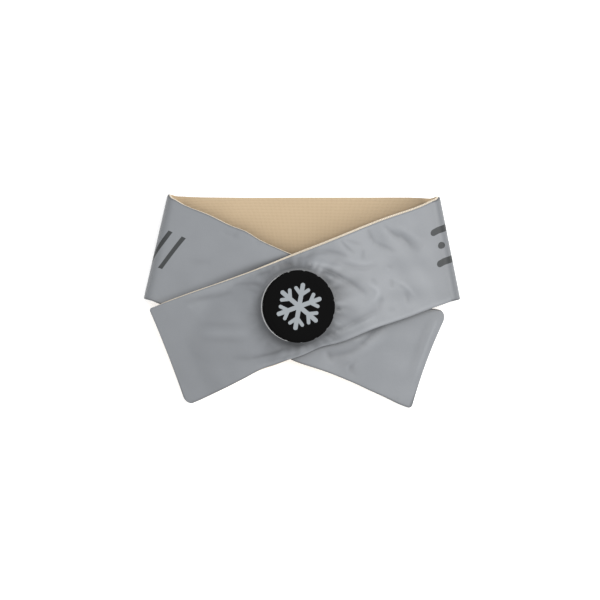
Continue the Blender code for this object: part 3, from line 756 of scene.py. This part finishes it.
# name: how much painted shade, and over what distance in metres
PAINTED_SHADE = {
    "mouth": (0.56, 0.0057),
    "left fold": (0.30, 0.0060),
    "right fold": (0.20, 0.0070),
    "beside right fold": (0.13, 0.0150),
    "edge": (0.45, 0.0009),
    "below": (0.36, 0.0022),
}
# painted highlight where the over band's lower edge catches light: how far inside the edge, how much, and
# over what distance
PAINTED_HIGHLIGHT_INSET = 0.0014
PAINTED_HIGHLIGHT = (0.14, 0.0016)
# how far the rolled lining stands out beyond the over band's upper edge
ROLL_OUT = 0.0018
EDGE_POINTS = 60
# painted shade of the over band on the under band above the crossing: place along X, how much darker, and
# over what distance
CROSSING_SHADE = (
    (-0.110, 0.12, 0.0018),
    (-0.073, 0.20, 0.0022),
    (-0.058, 0.32, 0.0030),
    (-0.044, 0.48, 0.0036),
    (-0.037, 0.58, 0.0034),
    (-0.030, 0.66, 0.0029),
    (-0.022, 0.74, 0.0022),
    (-0.010, 0.62, 0.0016),
)


def fall_off(away, strength, reach, power=2):
    """How much darker it is at a distance from what darkens it."""
    return strength * np.exp(-((away / reach) ** power))


def edge_line(side, beyond=0.0):
    """A line in plan along the over band's edge: its upper edge for 1, its lower edge for -1."""
    steps = np.linspace(0.0, OVER.run, EDGE_POINTS)
    return over_surface(steps, np.full(EDGE_POINTS, side * (HALF_WIDTH + beyond)), "lining")[:, :2]


def shell_painted_light(place, across, plan):
    """Share of the coating's colour that is left at each place of the shell, after its painted shade and
    painted highlights.
    """
    on_over, on_under = place > OVER_FOLD_AT, place < UNDER_FOLD_AT
    tone = np.ones(len(place))
    for band, creases in ((on_over, OVER_CREASES), (on_under, UNDER_CREASES)):
        tone[band] += CREASE_PAINTED_LIGHT * crease_height(plan[band], creases) * edge_fade(across[band])

    strength, reach = PAINTED_SHADE["mouth"]
    step = place - MOUTH_AT
    outside = np.maximum(np.hypot(step, across) - CLAMP_RADIUS, 0.0)
    turn = np.arctan2(across, -step)
    # painted shade of the cap on the cloth: the dark ring round the mouth is ragged, and nearly gone towards
    # the free end, where facing is 1
    ragged = 1 + 0.35 * np.sin(5 * turn + 1.0) + 0.30 * np.sin(13 * turn + 2.0) + 0.25 * np.sin(29 * turn)
    facing = np.cos(turn - math.pi + 0.3)
    weight = 1.10 - 0.10 * facing - 0.88 * np.maximum(facing, 0.0) ** 1.5
    tone -= strength * weight * np.exp(-outside / reach / np.maximum(ragged, 0.35))

    # painted shade along both folds, where the cloth turns away from the light, and beside the right fold
    left, right = UNDER_FOLD_AT + ROLL_LENGTH / 2, OVER_FOLD_AT - ROLL_LENGTH / 2
    for name, middle in (("left fold", left), ("right fold", right), ("beside right fold", right)):
        tone -= fall_off(place - middle, *PAINTED_SHADE[name])

    # painted shade along the rounded edges and ends; where the over band's edge is hemmed by its lining or
    # lies on the under band, it isn't darker
    to_side = HALF_WIDTH - np.abs(across)
    crossed = on_over & ((across > 0) | (place < CROSSING_END_AT))
    to_end = np.minimum(place, STRIP_LENGTH - place)
    to_edge = np.minimum(np.where(crossed, HALF_WIDTH, to_side), to_end)
    tone -= fall_off(to_edge, *PAINTED_SHADE["edge"])
    # painted highlight along the over band's lower edge where it lies on the under band
    highlighted = crossed & (across < 0)
    tone[highlighted] += fall_off(to_side[highlighted] - PAINTED_HIGHLIGHT_INSET, *PAINTED_HIGHLIGHT)

    # painted shade on the under band below the over band's lower edge
    away, _ = nearest(plan[on_under], edge_line(-1))
    tone[on_under] -= fall_off(away, *PAINTED_SHADE["below"], power=1.2)
    # painted shade beside the over band's upper edge, past the rolled lining
    shade = (read_curve(CROSSING_SHADE, plan[on_under, 0], column) for column in (1, 2))
    away, _ = nearest(plan[on_under], edge_line(1, ROLL_OUT))
    tone[on_under] -= fall_off(away, *shade)
    return np.clip(tone, *PAINTED_LIGHT_RANGE)


def keep_painted_light(cloth, tone):
    """Keep the painted light and shade of each point on the cloth's mesh."""
    cloth.data.attributes.new("tone", "FLOAT", "POINT").data.foreach_set("value", tone)
    print(cloth.name, "tone from", round(float(tone.min()), 2), "to", round(float(tone.max()), 2))


keep_painted_light(shell, shell_painted_light(flat_place, flat_across.ravel(), spots.reshape(-1, 3)[:, :2]))

# %% Cut the hole for the filler neck
radius = np.hypot(flat_place - MOUTH_AT, flat_across.ravel())
make_active(shell)
bpy.ops.object.mode_set(mode="EDIT")
bpy.ops.mesh.select_all(action="DESELECT")
bpy.ops.object.mode_set(mode="OBJECT")
for face in shell.data.polygons:
    face.select = min(radius[v] for v in face.vertices) < HOLE_RADIUS
shell_ids = shell.data.attributes.new("pattern_point", "INT", "POINT")
shell_ids.data.foreach_set("value", np.arange(len(shell.data.vertices), dtype=np.int32))
bpy.ops.object.mode_set(mode="EDIT")
bpy.ops.mesh.delete(type="FACE")
bpy.ops.object.mode_set(mode="OBJECT")
kept = np.zeros(len(shell.data.vertices), dtype=np.int32)
shell.data.attributes["pattern_point"].data.foreach_get("value", kept)
shell.data.attributes.remove(shell.data.attributes["pattern_point"])
give_wall(shell, SHELL_WALL, 1.0, shell_shares[kept])
print("shell faces:", len(shell.data.polygons))

# %% [markdown]
# ## The lining
# The lining is the same strip in knit cloth, on the other side. Along the upper edge it is cut a little
# wider and rolls round the shell's edge, so that a cream line shows from outside. The roll is widest at the
# middle of the over band and nearly gone at its free end, so a table says how far it turns at each place.

# %% How far the lining rolls over each edge
LINING_INSET = 0.0006
ROLL_RADIUS = 0.0009
ROLL_STEPS = 7
ROLL_ROW = 0.0003
FULL_TURN = math.radians(150)
# place along the strip, turn of the roll at the upper and at the lower edge, 1 for the fullest,
# and how far the lining stays short of the shell's upper edge
EDGE_TURNS = (
    (0.000, 0.03, 0.05, 0.0010),
    (0.050, 0.05, 0.05, 0.0008),
    (0.085, 0.12, 0.30, 0.0),
    (0.110, 0.12, 0.05, 0.0),
    (UNDER_FOLD_AT - 0.024, 0.12, 0.05, 0.0),
    (UNDER_FOLD_AT - 0.012, 0.08, 0.05, 0.0),
    (UNDER_FOLD_AT, 0.18, 0.05, 0.0),
    (BACK_START_AT, 0.03, 0.05, 0.0002),
    (BACK_END_AT, 0.03, 0.05, 0.0002),
    (OVER_FOLD_AT, 0.50, 0.05, 0.0),
    (OVER_FOLD_AT + 0.050, 0.62, 0.05, 0.0),
    (MOUTH_AT - 0.020, 0.66, 0.08, 0.0),
    (MOUTH_AT + 0.005, 0.42, 0.10, 0.0),
    (MOUTH_AT + 0.030, 0.27, 0.30, 0.0),
    (MOUTH_AT + 0.055, 0.22, 0.08, 0.0),
    (MOUTH_AT + 0.072, 0.20, 0.05, 0.0),
    (STRIP_LENGTH - 0.016, 0.14, 0.05, 0.0),
    (STRIP_LENGTH, 0.04, 0.05, 0.0008),
)


def edge_roll(edge, inside, normals, lines, column):
    """Rows of points that carry on past an edge row and roll towards the shell's side."""
    outward = edge - inside
    outward /= np.linalg.norm(outward, axis=1, keepdims=True)
    turn = read_curve(EDGE_TURNS, lines, column) * FULL_TURN
    rolled = []
    for k in range(1, ROLL_STEPS + 1):
        angle = (turn * k / ROLL_STEPS)[:, None]
        rolled.append(edge + ROLL_RADIUS * (outward * np.sin(angle) + normals * (1 - np.cos(angle))))
    return np.array(rolled)


# %% Cut and wrap the lining
lining_lines = np.unique(np.clip(cross_lines(0.0022, 0.0022), LINING_INSET, STRIP_LENGTH - LINING_INSET))
lining_rows = edge_rows(0.0018, LINING_INSET)
lining_shape = (len(lining_rows), len(lining_lines))
flat_across, flat_place = np.meshgrid(lining_rows, lining_lines, indexing="ij")
flat_place = trim_ends(flat_place.ravel(), flat_across.ravel())
tucked = np.tile(read_curve(EDGE_TURNS, lining_lines, 3), len(lining_rows))
tucked = flat_across.ravel() - tucked * np.maximum(flat_across.ravel() / HALF_WIDTH, 0.0) ** 8
spots = wrap(flat_place, tucked, "lining").reshape(*lining_shape, 3)
normals = sheet_normals(spots)
spots = spots - normals * (CLOTH_GAP + LINING_WALL) / 2
upper = edge_roll(spots[-1], spots[-4], normals[-1], lining_lines, 1)
lower = edge_roll(spots[0], spots[3], normals[0], lining_lines, 2)
spots = np.concatenate([lower[::-1], spots, upper])
extra = np.arange(1, ROLL_STEPS + 1) * ROLL_ROW
all_rows = np.concatenate([lining_rows[0] - extra[::-1], lining_rows, HALF_WIDTH + extra])

lining = cut_pattern("neck_ring_lining", lining_lines, all_rows)
lining.data.vertices.foreach_set("co", spots.ravel())
ends = np.minimum(lining_lines, STRIP_LENGTH - lining_lines) - LINING_INSET
sides = np.concatenate([extra[::-1], np.zeros(len(lining_rows)), extra])
side_shares = rim_profile(extra[-1] * 1.001 - sides, 0.0006)
end_shares = rim_profile(ends, END_RIM)
print("lining pattern wrapped:", (len(all_rows), len(lining_lines)))

# %% Painted shade and wall of the lining
# painted shade beside the over band, the under band and the right fold: how much darker, and over what
# distance
LINING_SHADE = ((0.30, 0.0140), (0.32, 0.0030), (0.22, 0.0220))
plan = spots.reshape(-1, 3)[:, :2]
steps = np.linspace(0.0, UNDER.run, EDGE_POINTS)
under_line = under_surface(steps, np.full(EDGE_POINTS, HALF_WIDTH))[:, :2]
lining_painted_shade = np.ones(len(plan))
fold_line = RIGHT_FOLD.axis(np.linspace(-HALF_WIDTH, HALF_WIDTH, 9))
for shade, line in zip(LINING_SHADE, (edge_line(1), under_line, fold_line)):
    lining_painted_shade -= fall_off(nearest(plan, line)[0], *shade, power=1)
on_back = (lining_lines > BACK_START_AT) & (lining_lines < BACK_END_AT)
# the painted shade is kept only on the back panel's lining
keep_painted_light(lining, np.where(np.tile(on_back, len(all_rows)), lining_painted_shade, 1.0))
give_wall(lining, LINING_WALL, 0.0, np.minimum(*np.meshgrid(side_shares, end_shares, indexing="ij")).ravel())
print("lining faces:", len(lining.data.polygons))

# %% [markdown]
# ## Finishes
# A small class keeps the shader maths readable: it wraps one socket, so that sums are written as sums. The
# class Finish holds a material while it is built, and its one method adds any other node.

# %% Helpers for the materials


class Number:
    """A number that comes out of a node."""

    def __init__(self, finish, socket):
        self.finish = finish
        self.socket = socket

    def work(self, operation, *others):
        return self.finish.node("ShaderNodeMath", {"operation": operation}, self, *others)

    def __add__(self, other):
        return self.work("ADD", other)

    def __sub__(self, other):
        return self.work("SUBTRACT", other)

    def __mul__(self, other):
        return self.work("MULTIPLY", other)

    def __truediv__(self, other):
        return self.work("DIVIDE", other)

    def __rsub__(self, other):
        return self.finish.node("ShaderNodeMath", {"operation": "SUBTRACT"}, other, self)

    __radd__ = __add__
    __rmul__ = __mul__


class Finish:
    """A material while it is built."""

    def __init__(self, name, **constants):
        self.material = bpy.data.materials.new(name)
        self.material.use_nodes = True
        self.tree = self.material.node_tree
        self.shader = self.tree.nodes["Principled BSDF"]
        for key, value in constants.items():
            self.shader.inputs[key.replace("_", " ")].default_value = value

    def connect(self, value, socket):
        if isinstance(value, Number):
            self.tree.links.new(value.socket, socket)
        elif value is not None:
            socket.default_value = value

    def node(self, kind, settings=None, *values, out=0, **named):
        """Add a node: its settings first, then the values or links of its sockets."""
        node = self.tree.nodes.new(kind)
        for key, value in (settings or {}).items():
            setattr(node, key, value)
        for value, socket in zip(values, node.inputs):
            self.connect(value, socket)
        for key, value in named.items():
            self.connect(value, node.inputs[key.replace("_", " ")])
        return Number(self, node.outputs[out])

    def flat_place(self):
        """Place along and across the flat cloth, in metres."""
        spot = self.node("ShaderNodeUVMap", {"uv_map": "flat"})
        parts = self.node("ShaderNodeSeparateXYZ", None, spot).socket.node.outputs
        return Number(self, parts[0]), Number(self, parts[1])

    def spot(self):
        """Place in the object's own space, in metres."""
        return self.node("ShaderNodeTexCoord", out=3)

    def step(self, value, low, high):
        """Smooth step from 0 at low to 1 at high."""
        return self.node(
            "ShaderNodeMapRange", {"interpolation_type": "SMOOTHSTEP"}, value, low, high, 0.0, 1.0
        )

    def mix(self, share, first, second):
        """Mix two colours, whose sockets come after five for other kinds of mix."""
        unused = (None,) * 5
        return self.node("ShaderNodeMix", {"data_type": "RGBA"}, share, *unused, first, second, out=2)

    def tinted(self, colour):
        """A colour times the painted light and shade that the mesh keeps at each point."""
        tone = self.node("ShaderNodeAttribute", {"attribute_name": "tone"}, out=2)
        grey = self.node("ShaderNodeCombineXYZ", None, tone, tone, tone)
        return self.node("ShaderNodeVectorMath", {"operation": "MULTIPLY"}, colour, grey)

    def noise(self, spot, scale, detail=2.0):
        return self.node("ShaderNodeTexNoise", None, Vector=spot, Scale=scale, Detail=detail)

    def bump(self, height, strength, distance):
        bump = self.node("ShaderNodeBump", None, Strength=strength, Distance=distance, Height=height)
        self.connect(bump, self.shader.inputs["Normal"])


def srgb(red, green, blue, alpha=1.0):
    """A colour as a screen shows it, from 0 to 255, as the linear values that a shader takes."""
    linear = [((c / 255 + 0.055) / 1.055) ** 2.4 if c > 10 else c / 255 / 12.92 for c in (red, green, blue)]
    return (*linear, alpha)


print("a screen grey of 128 is", round(srgb(128, 128, 128)[0], 4), "in a shader")

# %% [markdown]
# ## Coated nylon
# The shell is plain-woven nylon with a silver-grey coating: a fine weave that is just visible close up, a
# faint sheen, and a slightly uneven tone. Slanted dark bars run round the left fold, and a bar, a dot and a
# bar round the right one. They are a print, so they belong in the same material, drawn in the flat cloth's
# own measures.

# %% The shell's material
THREAD = 0.00042
PRINT_BLUR = 0.0001
BAR_SLANT = 0.42
BAR_PITCH = 0.0100
HALF_BAR = 0.00155
BARS_REACH = 0.0199
BARS_HEIGHT = 0.0136
DASH_RADIUS = 0.0024
# start and end of each dash round the right fold, along and across the flat cloth
DASHES = (
    ((-0.010, 0.0165), (0.0120, 0.0135)),
    ((0.0085, 0.0030), (0.0086, 0.0030)),
    ((-0.010, -0.0060), (0.0120, -0.0090)),
)

nylon = Finish("coated_nylon", Specular_IOR_Level=0.5)
along, across = nylon.flat_place()
spot = nylon.spot()
warp, weft = ((way * (2 * math.pi / THREAD)).work("SINE") for way in (along, across))
weave = warp * weft
uneven = nylon.noise(spot, 38.0, 3.0)
cloth_grey = nylon.mix(uneven, srgb(126, 129, 133), srgb(134, 137, 141))


def printed_within(value, limit):
    """1 where a value is below its limit, 0 above it, with the print's soft edge between."""
    return 1 - nylon.step(value, limit - PRINT_BLUR, limit + PRINT_BLUR)


def capsule(along, across, start, end, radius):
    """1 inside a bar with round ends in the flat cloth, 0 outside."""
    run, rise = end[0] - start[0], end[1] - start[1]
    x, y = along - start[0], across - start[1]
    part = ((x * run + y * rise) / (run * run + rise * rise)).work("MAXIMUM", 0.0).work("MINIMUM", 1.0)
    x, y = x - part * run, y - part * rise
    return printed_within((x * x + y * y).work("SQRT"), radius)


left_middle = UNDER_FOLD_AT + ROLL_LENGTH / 2
lean = along + across * BAR_SLANT - left_middle
from_bar = ((lean / BAR_PITCH).work("FRACT") - 0.5).work("ABSOLUTE") * BAR_PITCH
tall = printed_within(across.work("ABSOLUTE"), BARS_HEIGHT)
inside = printed_within(lean.work("ABSOLUTE"), BARS_REACH)
bars = printed_within(from_bar, HALF_BAR) * inside * tall

from_right = along - (OVER_FOLD_AT - ROLL_LENGTH / 2)
for start, end in DASHES:
    bars = bars + capsule(from_right, across, start, end, DASH_RADIUS)
printed = nylon.mix(bars, cloth_grey, srgb(49, 52, 53))
# the coating's printed colour times its painted light and shade
nylon.connect(nylon.tinted(printed), nylon.shader.inputs["Base Color"])
nylon.connect(0.43 - weave * 0.03 + bars * 0.1, nylon.shader.inputs["Roughness"])
nylon.bump(weave * 0.5 + nylon.noise(spot, 900.0, 2.0) * 0.6, 0.25, 0.00012)
print("nodes in the shell's material:", len(nylon.tree.nodes))

# %% [markdown]
# ## Honeycomb knit
# The lining is a thin knit with a net of tiny holes, 1 mm apart. Two sine waves of 1.4 mm, crossed on the
# diagonal, give that net: the holes have a darker colour and lie deeper. The rolled edge is a lighter
# cream, partly the stretched knit's own colour and partly a painted highlight where the roll faces the
# light.

# %% The lining's material
NET = 0.0014
ROLL_BLUR = 0.0004

knit = Finish("honeycomb_knit", Roughness=0.85, Sheen_Weight=0.3, Sheen_Roughness=0.6)
along, across = knit.flat_place()
turns = 2 * math.pi / NET / math.sqrt(2)
one, other = ((way * turns).work("SINE") for way in (along + across, along - across))
hole = knit.step(one * other, 0.15, 0.85)
uneven = knit.noise(knit.spot(), 30.0)
rolled = knit.step(across.work("ABSOLUTE"), HALF_WIDTH - ROLL_BLUR, HALF_WIDTH + ROLL_BLUR)
cream = knit.mix(uneven, srgb(192, 170, 138), srgb(200, 178, 146))
# the rolled edge: partly the stretched knit's lighter colour, partly painted highlight
cream = knit.mix(rolled, cream, srgb(222, 212, 194))
cream = knit.mix(hole * 0.7, cream, srgb(156, 130, 96))
knit.connect(knit.tinted(cream), knit.shader.inputs["Base Color"])
knit.bump(0.0 - hole, 0.5, 0.0003)
print("nodes in the lining's material:", len(knit.tree.nodes))

# %% Dress the cloth


def dress(piece, finish):
    """Give a piece this one material."""
    piece.data.materials.clear()
    piece.data.materials.append(finish.material)


dress(shell, nylon)
dress(lining, knit)
for cloth, node, slot in ((shell, "band_shell", "coated_cloth"), (lining, "band_lining", "lining_knit")):
    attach(cloth, "wrap")
    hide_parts(node)

# %% [markdown]
# ## The screw cap
# The cap is a black moulded disc with a rounded top edge and fifteen grip notches round its side. It is
# turned like a bowl: a circle is added, and its edge is extruded and resized ring by ring, down the outside
# and up the inside. Then the side is pushed in at each notch.

# %% A helper that turns a piece on the mouth's axis
MIDDLE_OF_CLOTH = CLOTH_GAP / 2 + SHELL_WALL / 2
MOUTH_FRAME = (
    Matrix.Translation(Vector((*MOUTH_PLAN, MOUTH_HEIGHT)) + MOUTH_AXIS * MIDDLE_OF_CLOTH)
    @ Vector((0.0, 0.0, 1.0)).rotation_difference(MOUTH_AXIS).to_matrix().to_4x4()
)


def to_mouth(piece):
    """Carry a piece made round the origin to the mouth."""
    make_active(piece)
    piece.matrix_world = MOUTH_FRAME
    settle()


def turned(name, rings, steps):
    """A closed solid of rings of radius and height. The first and the last ring are filled."""
    deselect_all()
    first_radius, first_height = rings[0]
    bpy.ops.mesh.primitive_circle_add(
        vertices=steps, radius=first_radius, location=(0.0, 0.0, first_height), fill_type="NGON"
    )
    piece = bpy.context.object
    piece.name = name
    piece.data.name = name
    settle()
    bpy.ops.object.mode_set(mode="EDIT")
    bpy.ops.mesh.select_all(action="SELECT")
    bpy.ops.mesh.delete(type="ONLY_FACE")
    bpy.ops.mesh.select_all(action="SELECT")
    bpy.ops.mesh.edge_face_add()
    for (radius, height), (wider, higher) in zip(rings, rings[1:]):
        bpy.ops.mesh.extrude_edges_move(
            TRANSFORM_OT_translate={"value": (0.0, 0.0, higher - height)}
        )
        scale = wider / radius
        bpy.ops.transform.resize(value=(scale, scale, 1.0), center_override=(0.0, 0.0, 0.0))
    bpy.ops.mesh.edge_face_add()
    bpy.ops.mesh.select_all(action="SELECT")
    bpy.ops.mesh.normals_make_consistent(inside=False)
    bpy.ops.object.mode_set(mode="OBJECT")
    print(name, "has", len(piece.data.polygons), "faces")
    return piece


# %% Turn the cap and push in its notches
NOTCHES = 15
CAP_RADIUS = 0.0256
CAP_BOTTOM = 0.0033
CAP_CEILING = 0.0138
CAP_TOP = 0.0158
NOTCH_PHASE = math.radians(10.0)
NOTCH_PITCH = 2 * math.pi / NOTCHES
NOTCH_DEPTH = 0.0006
NOTCH_HALF_WIDTH = 0.0012
# the notches are pushed in outside this radius and above this height
GRIP_RADIUS = 0.0235
GRIP_BOTTOM = CAP_BOTTOM + 0.0028

cap = turned(
    "screw_cap",
    (
        (0.0200, CAP_TOP),
        (0.0240, CAP_TOP),
        (0.0246, CAP_TOP - 0.00004),
        (0.0251, CAP_TOP - 0.00020),
        (0.0254, CAP_TOP - 0.00045),
        (0.02556, CAP_TOP - 0.0008),
        (0.0256, CAP_TOP - 0.0012),
        (0.0254, CAP_BOTTOM + 0.0060),
        (0.0252, CAP_BOTTOM + 0.0036),
        (0.0250, CAP_BOTTOM + 0.0030),
        (0.0249, CAP_BOTTOM + 0.0024),
        (0.0248, CAP_BOTTOM + 0.0004),
        (0.0246, CAP_BOTTOM + 0.0001),
        (0.0243, CAP_BOTTOM),
        (0.0226, CAP_BOTTOM),
        (0.0224, CAP_BOTTOM + 0.0002),
        (0.0224, CAP_CEILING),
    ),
    360,
)
for vert in cap.data.vertices:
    radius = math.hypot(vert.co.x, vert.co.y)
    if radius < GRIP_RADIUS or vert.co.z < GRIP_BOTTOM:
        continue
    angle = math.atan2(vert.co.y, vert.co.x) - NOTCH_PHASE
    off = abs((angle + NOTCH_PITCH / 2) % NOTCH_PITCH - NOTCH_PITCH / 2) * CAP_RADIUS
    depth = NOTCH_DEPTH * max(0.0, 1 - (off / NOTCH_HALF_WIDTH) ** 2)
    scale = min(radius, CAP_RADIUS - depth) / radius
    vert.co.x *= scale
    vert.co.y *= scale
to_mouth(cap)
bpy.ops.object.shade_smooth_by_angle(angle=math.radians(30))

# %% [markdown]
# ## The mark on the cap
# The cap carries a plain snowflake in light grey, which says what the ring is for. Each of its six arms is
# a flat bar with a pair of short twigs. All of them are joined into one piece, which stands 0.14 mm proud
# of the cap, as a thick print does.

# %% Snowflake
BAR_WIDTH = 0.0032
TWIG_WIDTH = 0.0026
MARK_RISE = 0.00014
BAR_DEPTH = 0.0006
MARK_TURN = 20


def flat_bar(start, end, width, rise):
    """A bar with half-round ends that lies on the cap's face and stands up by its rise."""
    deselect_all()
    start, end = Vector(start), Vector(end)
    length = (end - start).length
    bpy.ops.mesh.primitive_cylinder_add(
        vertices=32,
        radius=width / 2,
        depth=BAR_DEPTH,
        location=(0.0, 0.0, CAP_TOP + rise - BAR_DEPTH / 2),
    )
    bar = bpy.context.object
    settle()
    for vert in bar.data.vertices:
        if vert.co.x > 1e-6:
            vert.co.x += length
    turn = math.atan2((end - start).y, (end - start).x)
    bar.matrix_world = Matrix.Translation((*start, 0.0)) @ Matrix.Rotation(turn, 4, "Z")
    settle()
    return bar


def join_to(whole, part):
    """Union of two pieces; the second one is used up."""
    make_active(whole)
    union = whole.modifiers.new("Join", "BOOLEAN")
    union.operation = "UNION"
    union.solver = "EXACT"
    union.object = part
    bpy.ops.object.modifier_apply(modifier="Join")
    bpy.data.objects.remove(part)


mark = None
for arm in range(6):
    turn = Matrix.Rotation(math.radians(60 * arm + MARK_TURN), 2)
    for start, end, width, rise in (
        ((0.0, 0.0), (0.0152, 0.0), BAR_WIDTH, MARK_RISE + 0.000002 * arm),
        ((0.0082, 0.0), (0.0124, 0.0044), TWIG_WIDTH, MARK_RISE - 0.00002),
        ((0.0082, 0.0), (0.0124, -0.0044), TWIG_WIDTH, MARK_RISE - 0.00003),
    ):
        bar = flat_bar(turn @ Vector(start), turn @ Vector(end), width, rise)
        if mark is None:
            mark = bar
        else:
            join_to(mark, bar)
mark.name = "cap_snowflake"
mark.data.name = "cap_snowflake"
to_mouth(mark)
print("snowflake faces:", len(mark.data.polygons))

# %% [markdown]
# ## Plastics, rubber and the closure
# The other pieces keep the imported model's shapes. Moulded plastic has a fine spark-eroded grain, the seal
# is plain silicone, and the closure is a tape of hooks and loops.

# %% Moulded finishes


def moulded(name, colour, roughness, grain, depth, shine=0.5):
    """Moulded plastic or rubber: an even colour with a fine grain in its gloss and its surface."""
    finish = Finish(name, Roughness=roughness, Specular_IOR_Level=shine)
    spot = finish.spot()
    fine = finish.noise(spot, grain)
    cloudy = finish.noise(spot, 60.0)
    darker = tuple(0.86 * c for c in colour[:3]) + (1.0,)
    finish.connect(finish.mix(cloudy, darker, colour), finish.shader.inputs["Base Color"])
    finish.connect(fine * 0.12 + (roughness - 0.06), finish.shader.inputs["Roughness"])
    finish.bump(fine, 0.2, depth)
    return finish


black = moulded("black_plastic", srgb(6, 6, 6), 0.6, 2600.0, 0.00004, 0.04)
print_grey = moulded("print_grey", srgb(147, 153, 157), 0.6, 2600.0, 0.00002, 0.3)
grey = moulded("collar_plastic", srgb(205, 206, 206), 0.38, 1800.0, 0.00003)
silicone = moulded("silicone", srgb(214, 213, 206), 0.5, 900.0, 0.00003)
tape = moulded("hook_tape", srgb(130, 131, 134), 0.95, 1400.0, 0.0004)

for piece, finish in ((cap, black), (mark, print_grey)):
    dress(piece, finish)
    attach(piece, "cap")
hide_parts("cap")
for name, finish in (("mouth_collar", grey), ("seal_ring", silicone), ("closure_patch", tape)):
    node = frame["nodes"][name]
    for slot in node.material_slots:
        slot.material = finish.material
    print(name, "has", len(node.material_slots), "material slot")

# %% [markdown]
# The floor is matt and nearly white. It glows faintly, so that it stays white away from the lamps.

# %% The floor's finish
pale = Finish(
    "pale_floor",
    Base_Color=srgb(250, 250, 250),
    Roughness=0.9,
    Emission_Color=(1.0, 1.0, 1.0, 1.0),
    Emission_Strength=0.45,
)
floor.data.materials.append(pale.material)
